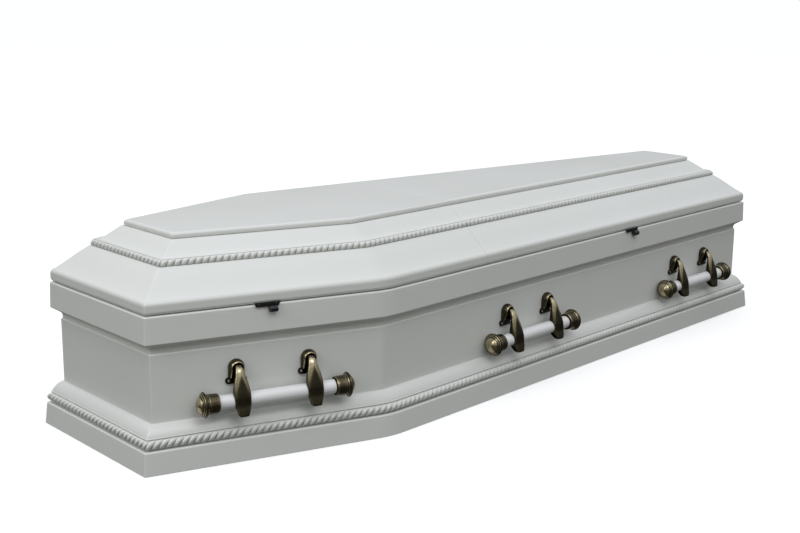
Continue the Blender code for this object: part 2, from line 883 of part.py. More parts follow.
build_box()
build_lid("head")
build_lid("foot")
build_fittings()
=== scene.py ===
# White lacquered coffin: its mouldings, ropes, bronze handles and finishes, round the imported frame.
# Metres, +Z up, +X towards the foot end. The side that the photograph shows faces -Y.
import json
import math

import bpy
import numpy as np
from mathutils import Matrix, Vector


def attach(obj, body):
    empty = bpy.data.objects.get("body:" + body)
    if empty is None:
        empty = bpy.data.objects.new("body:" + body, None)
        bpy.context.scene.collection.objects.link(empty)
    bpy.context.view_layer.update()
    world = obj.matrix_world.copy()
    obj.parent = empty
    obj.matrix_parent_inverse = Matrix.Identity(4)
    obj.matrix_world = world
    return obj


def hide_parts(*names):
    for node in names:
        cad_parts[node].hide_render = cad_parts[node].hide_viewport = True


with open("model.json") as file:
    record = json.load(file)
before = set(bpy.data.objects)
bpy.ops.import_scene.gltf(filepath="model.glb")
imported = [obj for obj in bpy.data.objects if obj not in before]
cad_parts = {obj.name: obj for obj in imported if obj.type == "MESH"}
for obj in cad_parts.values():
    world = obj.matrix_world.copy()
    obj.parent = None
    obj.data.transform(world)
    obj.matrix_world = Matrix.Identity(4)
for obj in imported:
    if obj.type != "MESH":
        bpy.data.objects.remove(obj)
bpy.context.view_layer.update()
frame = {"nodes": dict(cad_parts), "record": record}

mm = 0.001


# Colours and nodes

def linearColour(hexText):
    # sRGB hex to linear light: c / 12.92 near black, else ((c + 0.055) / 1.055) to the power 2.4
    channels = np.array([int(hexText[k:k + 2], 16) for k in (1, 3, 5)]) / 255.0
    linear = np.where(channels <= 0.04045, channels / 12.92, ((channels + 0.055) / 1.055) ** 2.4)
    return (*linear.tolist(), 1.0)


def addNode(tree, kind, settings=None, values=None, links=None):
    # one node with its settings, its inputs' values, and its inputs' links as (source node, output)
    node = tree.nodes.new(kind)
    for name, value in (settings or {}).items():
        setattr(node, name, value)
    for name, value in (values or {}).items():
        node.inputs[name].default_value = value
    for name, (source, output) in (links or {}).items():
        tree.links.new(source.outputs[output], node.inputs[name])
    return node


def newMaterial(name, hexText):
    # an empty principled material, with its colour for the solid view
    material = bpy.data.materials.new(name)
    material.use_nodes = True
    material.diffuse_color = linearColour(hexText)
    return material, material.node_tree, material.node_tree.nodes["Principled BSDF"]


# Sprayed satin polyurethane on sanded board: an even soft white, a broad gentle sheen, a trace of orange
# peel about 3 mm across, and under it the long grain of the boards, drawn wider than the real 0.5 mm to show.
lacquerLook = {
    "white": "#E3E4E0", "shade": "#D9DBD5", "driftPerMetre": 2.2,
    "roughness": (0.27, 0.36), "coat": 0.3, "coatRoughness": 0.16,
    "peelPerMetre": 330.0, "peelDepth": 0.03 * mm, "grainPerMetre": (5.0, 190.0, 190.0), "grainDepth": 0.05 * mm,
}


def makeLacquer(name, look):
    # the colour drifts slowly between two whites and the sheen with it; the peel's bump lies over the grain's
    material, tree, shader = newMaterial(name, look["white"])
    place = addNode(tree, "ShaderNodeTexCoord")
    drift = addNode(tree, "ShaderNodeTexNoise", values={"Scale": look["driftPerMetre"], "Detail": 3.0},
                    links={"Vector": (place, "Object")})
    tint = addNode(tree, "ShaderNodeMix", {"data_type": "RGBA"},
                   {6: linearColour(look["shade"]), 7: linearColour(look["white"])}, {0: (drift, "Fac")})
    if "groove" in look:  # painted shade: greyer where the strand attribute is low, down in the grooves of a rope
        strand = addNode(tree, "ShaderNodeAttribute", {"attribute_name": "wear"})
        tint = addNode(tree, "ShaderNodeMix", {"data_type": "RGBA"}, {6: linearColour(look["groove"])},
                       {0: (strand, "Fac"), 7: (tint, 2)})
    tree.links.new(tint.outputs[2], shader.inputs["Base Color"])
    low, high = look["roughness"]
    sheen = addNode(tree, "ShaderNodeMapRange", values={"From Min": 0.3, "From Max": 0.7, "To Min": low,
                    "To Max": high}, links={"Value": (drift, "Fac")})
    tree.links.new(sheen.outputs[0], shader.inputs["Roughness"])
    shader.inputs["Coat Weight"].default_value = look["coat"]
    shader.inputs["Coat Roughness"].default_value = look["coatRoughness"]
    peel = addNode(tree, "ShaderNodeTexNoise", values={"Scale": look["peelPerMetre"], "Detail": 1.0},
                   links={"Vector": (place, "Object")})
    stretch = addNode(tree, "ShaderNodeMapping", values={"Scale": look["grainPerMetre"]},
                      links={"Vector": (place, "Object")})
    grain = addNode(tree, "ShaderNodeTexNoise", values={"Scale": 1.0, "Detail": 4.0, "Roughness": 0.6},
                    links={"Vector": (stretch, "Vector")})
    first = addNode(tree, "ShaderNodeBump", values={"Strength": 1.0, "Distance": look["grainDepth"]},
                    links={"Height": (grain, "Fac")})
    second = addNode(tree, "ShaderNodeBump", values={"Strength": 1.0, "Distance": look["peelDepth"]},
                     links={"Height": (peel, "Fac"), "Normal": (first, "Normal")})
    tree.links.new(second.outputs[0], shader.inputs["Normal"])
    return material


# The same lacquer on the ropes, with painted shade: grey between the strands
ropeLookPaintedGrooveShade = dict(lacquerLook, groove="#94958F")
# Gloss white lacquer on the turned grip bars: whiter and shinier than the boards
gripLook = dict(lacquerLook, white="#ECECEB", shade="#E4E5E4", roughness=(0.20, 0.28), coat=0.5,
                coatRoughness=0.08, grainDepth=0.02 * mm, grainPerMetre=(8.0, 260.0, 260.0))

# Cast zinc, brass plated, darkened and then brushed back on its high places: warm satin streaks on the crowns,
# near-black brown in the hollows. Brush lines about 0.4 mm apart run along the piece (its own UV, in metres).
bronzeLook = {
    "bright": "#CFC39F", "body": "#625A45", "dark": "#22211C",
    "roughness": (0.17, 0.36), "brushPerMetre": (1900.0, 60.0, 1.0), "brushDepth": 0.025 * mm,
    "blotchPerMetre": 140.0, "brushSwing": 0.3, "blotchSwing": 0.24,
}


def makeBronze(name, look):
    # worn = wear attribute + brush lines + blotches, these two about zero; it runs from dark by body to bright
    material, tree, shader = newMaterial(name, look["body"])
    place = addNode(tree, "ShaderNodeTexCoord")
    wear = addNode(tree, "ShaderNodeAttribute", {"attribute_name": "wear"})
    blotch = addNode(tree, "ShaderNodeTexNoise", values={"Scale": look["blotchPerMetre"], "Detail": 4.0},
                     links={"Vector": (place, "Object")})
    lines = addNode(tree, "ShaderNodeMapping", values={"Scale": look["brushPerMetre"]},
                    links={"Vector": (place, "UV")})
    brush = addNode(tree, "ShaderNodeTexNoise", values={"Scale": 1.0, "Detail": 2.0},
                    links={"Vector": (lines, "Vector")})
    streak, cloud = (
        addNode(tree, "ShaderNodeMath", {"operation": "MULTIPLY_ADD"}, {1: swing, 2: -swing / 2},
                {0: (noise, "Fac")})
        for noise, swing in ((brush, look["brushSwing"]), (blotch, look["blotchSwing"])))
    worn = addNode(tree, "ShaderNodeMath", {"operation": "ADD"}, links={0: (wear, "Fac"), 1: (streak, 0)})
    worn = addNode(tree, "ShaderNodeMath", {"operation": "ADD", "use_clamp": True},
                   links={0: (worn, 0), 1: (cloud, 0)})
    lower = addNode(tree, "ShaderNodeMapRange", values={"From Max": 0.5}, links={"Value": (worn, 0)})
    upper = addNode(tree, "ShaderNodeMapRange", values={"From Min": 0.45}, links={"Value": (worn, 0)})
    deep = addNode(tree, "ShaderNodeMix", {"data_type": "RGBA"},
                   {6: linearColour(look["dark"]), 7: linearColour(look["body"])}, {0: (lower, 0)})
    tint = addNode(tree, "ShaderNodeMix", {"data_type": "RGBA"}, {7: linearColour(look["bright"])},
                   {0: (upper, 0), 6: (deep, 2)})
    tree.links.new(tint.outputs[2], shader.inputs["Base Color"])
    low, high = look["roughness"]
    polish = addNode(tree, "ShaderNodeMapRange", values={"To Min": high, "To Max": low},
                     links={"Value": (worn, 0)})
    tree.links.new(polish.outputs[0], shader.inputs["Roughness"])
    shader.inputs["Metallic"].default_value = 1.0
    bump = addNode(tree, "ShaderNodeBump", values={"Strength": 1.0, "Distance": look["brushDepth"]},
                   links={"Height": (brush, "Fac")})
    tree.links.new(bump.outputs[0], shader.inputs["Normal"])
    return material


# Stoved black enamel on pressed steel, slightly pebbled at about 1.5 mm
enamelLook = {"main": "#101012", "speck": "#1E1E20", "roughness": (0.28, 0.42), "pebblePerMetre": 650.0,
              "pebbleDepth": 0.03 * mm}
# Nickel-plated screw heads, turned, with a fine even grain
nickelLook = {"main": "#B9B4AA", "speck": "#8F8A80", "roughness": (0.22, 0.34), "pebblePerMetre": 900.0,
              "pebbleDepth": 0.01 * mm}


def makeCoated(name, look, metallic):
    # one pebble noise sets the colour, the sheen and the height together
    material, tree, shader = newMaterial(name, look["main"])
    place = addNode(tree, "ShaderNodeTexCoord")
    pebble = addNode(tree, "ShaderNodeTexNoise", values={"Scale": look["pebblePerMetre"], "Detail": 2.0},
                     links={"Vector": (place, "Object")})
    tint = addNode(tree, "ShaderNodeMix", {"data_type": "RGBA"},
                   {6: linearColour(look["main"]), 7: linearColour(look["speck"])}, {0: (pebble, "Fac")})
    tree.links.new(tint.outputs[2], shader.inputs["Base Color"])
    low, high = look["roughness"]
    sheen = addNode(tree, "ShaderNodeMapRange", values={"To Min": low, "To Max": high},
                    links={"Value": (pebble, "Fac")})
    tree.links.new(sheen.outputs[0], shader.inputs["Roughness"])
    shader.inputs["Metallic"].default_value = metallic
    bump = addNode(tree, "ShaderNodeBump", values={"Strength": 1.0, "Distance": look["pebbleDepth"]},
                   links={"Height": (pebble, "Fac")})
    tree.links.new(bump.outputs[0], shader.inputs["Normal"])
    return material


lacquer = makeLacquer("satinWhiteLacquer", lacquerLook)
ropeLacquerPaintedGrooveShade = makeLacquer("satinWhiteRopeLacquer", ropeLookPaintedGrooveShade)
gripLacquer = makeLacquer("glossWhiteGripLacquer", gripLook)
bronze = makeBronze("brushedAntiqueBronze", bronzeLook)
enamel = makeCoated("blackStovedEnamel", enamelLook, 0.0)
nickel = makeCoated("nickelPlate", nickelLook, 1.0)
print("materials made")


# Meshes from grids of points

def gridQuads(rows, columns, wrapRows, wrapColumns):
    # every cell of the grid as four point numbers, and as four row and column steps for its texture place
    i = np.arange(rows if wrapRows else rows - 1)[:, None]
    j = np.arange(columns if wrapColumns else columns - 1)[None, :]
    i, j = np.broadcast_arrays(i, j)
    steps = np.stack([np.stack([i, j], -1), np.stack([i, j + 1], -1),
                      np.stack([i + 1, j + 1], -1), np.stack([i + 1, j], -1)], -2).reshape(-1, 4, 2)
    return (steps[..., 0] % rows) * columns + steps[..., 1] % columns, steps


def runLengths(grid, axis, wrap):
    # mean distance walked along one direction of the grid, with the closing step where it wraps
    closed = np.concatenate([grid, np.take(grid, [0], axis)], axis) if wrap else grid
    steps = np.linalg.norm(np.diff(closed, axis=axis), axis=2).mean(axis=1 - axis)
    return np.concatenate([[0.0], np.cumsum(steps)])


def shell(grid, wrapRows=False, wrapColumns=False, wear=0.5):
    # one closed skin: a grid of points, wrapped where it meets itself, with flat faces on its open ends
    rows, columns = grid.shape[:2]
    quads, steps = gridQuads(rows, columns, wrapRows, wrapColumns)
    across, along = runLengths(grid, 1, wrapColumns), runLengths(grid, 0, wrapRows)
    uv = np.stack([across[steps[..., 1]], along[steps[..., 0]]], -1).reshape(-1, 2)
    numbers = np.arange(rows * columns).reshape(rows, columns)
    ends = []
    if wrapColumns and not wrapRows:
        ends = [numbers[0][::-1], numbers[-1]]
    if wrapRows and not wrapColumns:
        ends = [numbers[:, 0], numbers[:, -1][::-1]]
    points = grid.reshape(-1, 3)
    a, b, c, d = (points[quads[:, k]] for k in range(4))
    volume = np.einsum("ij,ij->", a, np.cross(b, c)) + np.einsum("ij,ij->", a, np.cross(c, d))
    for end in ends:
        fan = points[end]
        volume += np.einsum("ij,ij->", np.broadcast_to(fan[0], fan[2:].shape), np.cross(fan[1:-1], fan[2:]))
    loops = np.concatenate([quads.ravel(), *ends])
    totals = np.concatenate([np.full(len(quads), 4), [len(end) for end in ends]]).astype(int)
    endUv = [points[end][:, :2] for end in ends]
    uv = np.concatenate([uv, *endUv])
    if volume < 0:  # turn every face over so that it points out of the solid
        loops = np.concatenate([quads[:, ::-1].ravel(), *[end[::-1] for end in ends]])
        skinUv = uv[:quads.size].reshape(-1, 4, 2)[:, ::-1].reshape(-1, 2)
        uv = np.concatenate([skinUv, *[end[::-1] for end in endUv]])
    return points, loops, totals, uv, np.broadcast_to(wear, (rows, columns)).reshape(-1)


def addPiece(name, shells, material, body, stands=(), sharpAngle=38.0):
    # one object at the origin from closed skins; it rides on a body, in place of the nodes that it stands for
    points = np.concatenate([s[0] for s in shells])
    offsets = np.cumsum([0] + [len(s[0]) for s in shells[:-1]])
    loops = np.concatenate([s[1] + offset for s, offset in zip(shells, offsets)])
    totals = np.concatenate([s[2] for s in shells])
    mesh = bpy.data.meshes.new(name)
    mesh.vertices.add(len(points))
    mesh.vertices.foreach_set("co", points.astype(np.float32).ravel())
    mesh.loops.add(len(loops))
    mesh.loops.foreach_set("vertex_index", loops.astype(np.int32))
    mesh.polygons.add(len(totals))
    mesh.polygons.foreach_set("loop_start", np.concatenate([[0], np.cumsum(totals)[:-1]]).astype(np.int32))
    mesh.polygons.foreach_set("loop_total", totals.astype(np.int32))
    mesh.polygons.foreach_set("use_smooth", np.ones(len(totals), dtype=bool))
    mesh.update(calc_edges=True)
    uvLayer = mesh.uv_layers.new(name="surface")
    uvLayer.data.foreach_set("uv", np.concatenate([s[3] for s in shells]).astype(np.float32).ravel())
    wear = mesh.attributes.new("wear", "FLOAT", "POINT")
    wear.data.foreach_set("value", np.concatenate([s[4] for s in shells]).astype(np.float32))
    mesh.set_sharp_from_angle(angle=math.radians(sharpAngle))
    mesh.materials.append(material)
    piece = bpy.data.objects.new(name, mesh)
    bpy.context.scene.collection.objects.link(piece)
    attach(piece, body)
    if stands:
        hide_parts(*stands)
    return piece


def addWood(name, shells, node, material=lacquer, sharpAngle=38.0):
    addPiece(name, shells, material, "root", [node], sharpAngle)


# The plan: six corners, with a soft bend at each shoulder

coffinPlan = {
    "length": 2050 * mm, "headWidth": 414 * mm, "shoulderWidth": 697 * mm, "footWidth": 426 * mm,
    "shoulderStation": 516 * mm, "jointStation": 848 * mm, "jointGap": 0.3 * mm, "jointRound": 0.9 * mm,
    "softBend": 180, "crispBend": 80,     # radii of the plan at the shoulder, for the profiles, in mm
    "cornerRound": 3 * mm,
    "shoulderSteps": 16, "cornerSteps": 6, "spare": 5 * mm,
}
soft, crisp = coffinPlan["softBend"], coffinPlan["crispBend"]
halfLength = coffinPlan["length"] / 2
jointX = coffinPlan["jointStation"] - halfLength
nearCorners = np.array([
    [-halfLength, -coffinPlan["headWidth"] / 2],
    [-halfLength + coffinPlan["shoulderStation"], -coffinPlan["shoulderWidth"] / 2],
    [halfLength, -coffinPlan["footWidth"] / 2],
])
corners = np.concatenate([nearCorners, nearCorners[::-1] * (1, -1)])
sides = np.roll(corners, -1, axis=0) - corners
outward = np.stack([sides[:, 1], -sides[:, 0]], -1) / np.linalg.norm(sides, axis=1)[:, None]
shoulders = (1, 4)
sectionCorners = {None: (0, 1, 2, 3, 4, 5), "foot": (2, 3), "head": (4, 5, 0, 1)}
sectionSides = {"foot": (1, 3), "head": (3, 1)}      # the sides that start and end at the joint
jointWay = {"foot": 1, "head": -1}


def cornerArc(k, inset, bend):
    # arc about the mitred corner at inset + radius; a shoulder's radius is its bend less the inset
    before, after = outward[k - 1], outward[k]
    isShoulder = k in shoulders
    radius = max(bend - inset, 2 * mm) if isShoulder else coffinPlan["cornerRound"]
    steps = coffinPlan["shoulderSteps" if isShoulder else "cornerSteps"]
    centre = corners[k] - (before + after) * (inset + radius) / (1 + before @ after)
    start = math.atan2(before[1], before[0])
    angles = start + math.acos(min(1.0, before @ after)) * np.linspace(0, 1, steps + 1)
    arc = centre + radius * np.stack([np.cos(angles), np.sin(angles)], -1)
    spare = coffinPlan["spare"]
    lead = arc[:1] + spare * np.array([before[1], -before[0]])
    tail = arc[-1:] + spare * np.array([-after[1], after[0]])
    return np.concatenate([lead, arc, tail])


def onSide(side, x, inset):
    # the point at x on a side that has moved inwards by inset
    normal, corner = outward[side], corners[side]
    return np.array([x, (normal @ corner - inset - normal[0] * x) / normal[1]])


def outline(inset, bend, section=None):
    # the plan line at an inset, round the coffin or along one lid section
    return np.concatenate([cornerArc(k, inset, bend) for k in sectionCorners[section]])


# Profiles: corners of (inset, height, radius, bend), in mm, rounded to arcs

def roundedLine(profile, arcSteps=5):
    # each corner with a radius becomes an arc tangent to its two edges, by spherical interpolation between
    # the two tangent directions; a spare point on each side keeps the flats flat
    corner = np.array([p[:2] for p in profile]) * mm
    points, bends = [], []
    for k, (_, _, radius, bend) in enumerate(profile):
        here = corner[k]
        if radius == 0:
            points.append(here[None])
            bends.append([bend])
            continue
        back = corner[k - 1] - here
        ahead = corner[(k + 1) % len(profile)] - here
        back, ahead = back / np.linalg.norm(back), ahead / np.linalg.norm(ahead)
        half = math.acos(np.clip(back @ ahead, -1, 1)) / 2
        reach = radius * mm / math.tan(half)
        middle = back + ahead
        centre = here + middle / np.linalg.norm(middle) * radius * mm / math.sin(half)
        first, last = here + back * reach - centre, here + ahead * reach - centre
        turn = math.pi - 2 * half
        share = np.linspace(0, 1, arcSteps + 1)[:, None]
        arc = centre + (np.sin((1 - share) * turn) * first + np.sin(share * turn) * last) / math.sin(turn)
        spare = 0.3 * mm
        arc = np.concatenate([here[None] + back * (reach + spare), arc, here[None] + ahead * (reach + spare)])
        points.append(arc)
        bends.append([bend] * len(arc))
    return np.concatenate(points), np.concatenate(bends) * mm


def inwardNormals(line):
    # at each point of a closed outline, the mitred direction that moves both its edges inwards
    ahead = np.roll(line, -1, axis=0) - line
    ahead = ahead / np.maximum(np.linalg.norm(ahead, axis=1), 1e-9)[:, None]
    turn = np.roll(line, -1, axis=0)
    area = np.sum(line[:, 0] * turn[:, 1] - line[:, 1] * turn[:, 0])
    after = np.stack([-ahead[:, 1], ahead[:, 0]], -1) * np.sign(area)
    before = np.roll(after, 1, axis=0)
    return (before + after) / np.maximum(1 + np.sum(before * after, axis=1), 0.35)[:, None]


def sweep(profile, section=None, curve=None):
    # carries a closed profile round the plan: point (i, j) is plan point j moved inwards by profile inset i,
    # at profile height i. On a lid section the ends at the joint shrink a little, as a rounded edge.
    line, bends = roundedLine(profile) if curve is None else curve
    rows = [np.column_stack([flat := outline(inset, bend, section), np.full(len(flat), height)])
            for (inset, height), bend in zip(line, bends)]
    grid = np.stack(rows)
    if section is None:
        return shell(grid, wrapRows=True, wrapColumns=True)
    shrink = inwardNormals(line)
    radius, way = coffinPlan["jointRound"], jointWay[section]
    turns = np.linspace(0, math.pi / 2, 4)
    ends = []
    for side, order in zip(sectionSides[section], (1, -1)):
        columns = []
        for distance, depth in [*zip(radius * (1 - np.cos(turns)), radius * (1 - np.sin(turns))),
                                (radius + coffinPlan["spare"], 0.0)]:
            moved = line + shrink * depth
            x = jointX + way * (coffinPlan["jointGap"] / 2 + distance)
            spots = np.stack([onSide(side, x, inset) for inset in moved[:, 0]])
            columns.append(np.column_stack([spots, moved[:, 1]]))
        ends.append(np.stack(columns[::order], axis=1))
    return shell(np.concatenate([ends[0], grid, ends[1]], axis=1), wrapRows=True)


def board(profile, section=None):
    # a flat board: the same rows as a sweep, closed above and below; its edge at the joint is rounded on top
    line, bends = roundedLine(profile, arcSteps=8)
    top = line[:, 1].max()
    rows = []
    radius = coffinPlan["jointRound"]
    for (inset, height), bend in zip(line, bends):
        flat = outline(inset, bend, section)
        if section is not None:
            drop = max(0.0, height - (top - radius))
            back = radius - math.sqrt(max(0.0, radius ** 2 - drop ** 2))
            x = jointX + jointWay[section] * (coffinPlan["jointGap"] / 2 + back)
            start, end = (onSide(side, x, inset)[None] for side in sectionSides[section])
            flat = np.concatenate([start, flat, end])
        rows.append(np.column_stack([flat, np.full(len(flat), height)]))
    return shell(np.stack(rows), wrapColumns=True)


# Heights and insets of the box, as the frame has them (mm)
boxMouldings = {
    "plinth": [(0, 0, 0.8, soft), (4.7, 47.6, 3.2, soft), (35.2, 47.6, 0, crisp), (35.2, 0, 0, crisp)],
    "panels": [(55.5, 18.3, 0, crisp), (35.5, 18.3, 0, crisp), (35.5, 235.3, 3.5, crisp),
               (39.0, 235.3, 0, crisp), (39.0, 318.7, 0, crisp), (55.5, 318.7, 0, crisp)],
}
thumbShape = {"bed": (35.2, 47.9), "seat": 24.3, "fillet": (12.5, 70.1), "filletRise": 2.0, "filletRound": 0.7,
              "step": 1.5, "top": (35.2, 94.5), "steps": 14, "power": 0.64}
bandShape = {"seat": (38.7, 235.6), "coveFoot": (38.4, 235.6), "coveTurn": (38.4, 246.0), "coveRound": 9.0,
             "low": (18.6, 259.0), "lowRound": 1.6, "high": (20.1, 314.6), "highRound": 3.2}


def quarterLine(start, end, steps, power=1.0):
    # a quarter of an ellipse that meets end level: inset share = (1 - cos(turn)) ** power, so that a power
    # under 1 leaves start on a slope and a power of 1 leaves it upright
    turn = np.linspace(0, math.pi / 2, steps + 1)
    inset = start[0] + (end[0] - start[0]) * (1 - np.cos(turn)) ** power
    return np.column_stack([inset, start[1] + (end[1] - start[1]) * np.sin(turn)])


def raw(line, bend):
    # profile rows with no rounding, from a line that is already smooth
    return [(inset, height, 0, bend) for inset, height in line]


def buildBox():
    # closed profiles carried round the plan; the thumb moulding is a fillet with a quarter ellipse above it
    addWood("plinthMoulding", [sweep(boxMouldings["plinth"])], "base_plinth")
    t = thumbShape
    inset, height = t["fillet"]
    thumb = quarterLine((inset + t["step"], height + t["filletRise"]), t["top"], t["steps"], t["power"])
    small = t["filletRound"]
    profile = [(*t["bed"], 0, crisp), (t["seat"], t["bed"][1], 0, soft), (t["seat"], height, 0, soft),
               (inset, height, small, soft), (inset, height + t["filletRise"], small, soft),
               *raw(thumb[:-1], soft), (*t["top"], 0, crisp)]
    addWood("thumbMoulding", [sweep(profile)], "base_moulding")
    addWood("sidePanels", [sweep(boxMouldings["panels"])], "body_sides")
    b = bandShape
    profile = [(*b["seat"], 0, crisp), (*b["coveFoot"], 0, crisp), (*b["coveTurn"], b["coveRound"], crisp),
               (*b["low"], b["lowRound"], soft), (*b["high"], b["highRound"], soft),
               (b["seat"][0], b["high"][1], 0, crisp)]
    addWood("rimBandWithCove", [sweep(profile)], "rim_band")


# The lid: slab with its apron, ledge, upper slope and bullnosed top board (mm)
lidShape = {
    "inside": (55.5, 319.0, 326.2), "slabBack": 37.8, "slabLip": (36.0, 24.8, 317.0), "lipRound": 0.8,
    "slabFoot": (21.7, 321.6), "slabFootRound": 3.5, "slabTop": (21.7, 340.0), "slabRound": 11.0,
    "apronStart": (25.5, 341.6), "apronTop": (89.0, 393.0), "apronWave": 0.10, "apronSteps": 12,
    "apronRound": 1.2, "shelf": 130.0, "under": 18.0,
    "ledge": (106.3, 407.4), "ledgeFoot": 393.3, "ledgeLip": (96.2, 405.5), "slopeStart": 107.5,
    "slopeTop": (143.0, 435.0), "slopeWave": 0.06, "slopeSteps": 10, "rim": 165.0, "rimDrop": 9.0,
    "plate": (147.0, 435.3, 448.0), "plateBack": 177.0, "bullnose": 6.4, "bullnoseFoot": 4.2,
}


def ogeeLine(start, end, wave, steps):
    # rises from start to end, flatter at both ends and steeper in the middle: t - wave * sin(2 pi t) / (2 pi)
    t = np.linspace(0, 1, steps + 1)
    rise = t - wave * np.sin(2 * math.pi * t) / (2 * math.pi)
    return np.column_stack([start[0] + (end[0] - start[0]) * t, start[1] + (end[1] - start[1]) * rise])


def buildLid(section):
    # two closed profiles with straight-waisted slopes, carried round one lid section, and a flat board on top
    s = lidShape
    inside, floor, ceiling = s["inside"]
    back, front, low = s["slabLip"]
    apron = ogeeLine(s["apronStart"], s["apronTop"], s["apronWave"], s["apronSteps"])
    shelfTop = s["apronTop"][1]
    profile = [(inside, floor, 0, crisp), (s["slabBack"], floor, 0, crisp), (back, low, 0, crisp),
               (front, low, s["lipRound"], soft), (*s["slabFoot"], s["slabFootRound"], soft),
               (*s["slabTop"], s["slabRound"], soft), *raw(apron[1:-1], soft),
               (*s["apronTop"], s["apronRound"], soft), (s["shelf"], shelfTop, 0, soft),
               (s["shelf"], shelfTop - s["under"], 0, soft), (inside, ceiling, 0, crisp)]
    addWood(f"lidApron_{section}", [sweep(profile, section)], f"lid_{section}_apron")
    ledge, height = s["ledge"]
    lip, lipFoot = s["ledgeLip"]
    rimTop = s["slopeTop"][1]
    slope = ogeeLine((s["slopeStart"], height), s["slopeTop"], s["slopeWave"], s["slopeSteps"])
    profile = [(ledge, s["ledgeFoot"], 0, soft), (ledge, lipFoot, 0, soft), (lip, lipFoot, s["lipRound"], soft),
               (lip, height, s["lipRound"], soft), *raw(slope, soft), (s["rim"], rimTop, 0, soft),
               (s["rim"], rimTop - s["rimDrop"], 0, soft), (s["shelf"], s["ledgeFoot"], 0, soft)]
    addWood(f"lidSlope_{section}", [sweep(profile, section)], f"lid_{section}_slope")
    edge, low, high = s["plate"]
    profile = [(s["plateBack"], low, 0, soft), (edge, low, s["bullnoseFoot"], soft),
               (edge, high, s["bullnose"], soft), (s["plateBack"], high, 0, soft)]
    addWood(f"lidTopBoard_{section}", [board(profile, section)], f"lid_{section}_top")


buildBox()
print("box built")
for section in ("head", "foot"):
    buildLid(section)
print("lid built")


# Rope mouldings: strands that lean by one pitch or so over their height

# toe and head are (inset, height) of the strip's edges, back its flat back's inset, bed the flat bed behind (mm)
baseRope = {"toe": (12.8, 50.2), "head": (15.2, 68.4), "back": 15.4, "pitch": 14.25 * mm, "swell": 8.4 * mm,
            "core": 0.54, "lean": 1.30, "columns": 12, "rows": 17, "sharpAngle": 65.0,
            "bed": [(24.0, 47.9, 0, soft), (15.6, 47.9, 0, soft), (15.6, 66.4, 0.5, soft),
                    (12.7, 69.8, 0.5, soft), (24.0, 69.8, 0, soft)]}
lidRope = dict(baseRope, toe=(93.0, 393.3), head=(96.4, 405.8), back=106.0, swell=4.8 * mm, core=0.30, lean=0.60,
               rows=15, bed=None)


def ropePath(inset, section=None):
    # the plan line at one inset as a table: walked length, point, and the way it moves per metre of inset
    points, pushes = [], []
    if section is not None:
        x = jointX + jointWay[section] * coffinPlan["jointGap"] / 2
        first, last = sectionSides[section]
        points.append(onSide(first, x, inset)[None])
        pushes.append([[0.0, 1 / outward[first][1]]])
    for k in sectionCorners[section]:
        before, after = outward[k - 1], outward[k]
        push = (before + after) / (1 + before @ after)
        if k in shoulders:
            radius = coffinPlan["softBend"] * mm - inset
            start = math.atan2(before[1], before[0])
            angles = start + math.acos(before @ after) * np.linspace(0, 1, 13)
            ray = np.stack([np.cos(angles), np.sin(angles)], -1)
            points.append(corners[k] - push * (inset + radius) + ray * radius)
            pushes.append(ray)
        else:
            points.append((corners[k] - push * inset)[None])
            pushes.append(push[None])
    if section is not None:
        points.append(onSide(last, x, inset)[None])
        pushes.append([[0.0, 1 / outward[last][1]]])
    points, pushes = np.concatenate(points), np.concatenate(pushes)
    if section is None:
        points, pushes = np.concatenate([points, points[:1]]), np.concatenate([pushes, pushes[:1]])
    walked = np.concatenate([[0.0], np.cumsum(np.linalg.norm(np.diff(points, axis=0), axis=1))])
    return walked, points, pushes


def ropeShell(look, section=None):
    # half-round strip: out = swell * (core + (1 - core) * |sin(pi * strand)| ** 0.7) * cos(angle), where the
    # columns of points follow the strands. A strand moves along by lean * pitch * angle / pi round the strip,
    # and stands straight at a joint
    toe, head = np.array(look["toe"]) * mm, np.array(look["head"]) * mm
    reference = (toe[0] + head[0]) / 2
    walked, points, pushes = ropePath(reference, section)
    length = walked[-1]
    count = round(length / look["pitch"])
    pitch = length / count
    closed = section is None
    strand = np.arange(count * look["columns"] + (0 if closed else 1)) / look["columns"]
    angle = np.linspace(-math.pi / 2, math.pi / 2, look["rows"])
    upright = (1 + np.sin(angle)) / 2
    station = strand * pitch
    straighten = 1.0 if closed else np.clip(np.minimum(station, length - station) / (1.6 * pitch), 0, 1)
    bulge = look["core"] + (1 - look["core"]) * np.abs(np.sin(math.pi * strand)) ** 0.7
    out = look["swell"] * np.cos(angle)[:, None] * bulge[None, :]
    base = toe + (head - toe) * upright[:, None]
    outwardWay = np.array([-(head - toe)[1], (head - toe)[0]]) / np.linalg.norm(head - toe)
    inset = base[:, :1] + out * outwardWay[0]
    height = base[:, 1:] + out * outwardWay[1]
    shift = look["lean"] * pitch * (angle / math.pi)[:, None] * straighten
    place = station[None, :] + shift
    # the flat back of the strip, above and below
    backInset = np.full((2, len(strand)), look["back"] * mm)
    backHeight = np.array([[head[1]], [toe[1]]]) + np.zeros((2, len(strand)))
    place = np.concatenate([place, place[-1:], place[:1]])
    inset, height = np.concatenate([inset, backInset]), np.concatenate([height, backHeight])
    place = np.mod(place, length) if closed else np.clip(place, 0, length)
    x, y, pushX, pushY = (np.interp(place, walked, table) for table in (*points.T, *pushes.T))
    deeper = inset - reference
    # painted shade in the grooves: full up to the middle of the strip and gone at its top; the mask is low where
    # it paints the shade
    shade = np.concatenate([np.clip((0.85 - upright) / 0.45, 0, 1), [0.0, 0.0]])[:, None]
    paintedGrooveShadeMask = 1 - shade * (1 - np.abs(np.sin(math.pi * strand)) ** 0.8)
    grid = np.stack([x - pushX * deeper, y - pushY * deeper, height], -1)
    return shell(grid, wrapRows=True, wrapColumns=closed, wear=paintedGrooveShadeMask)
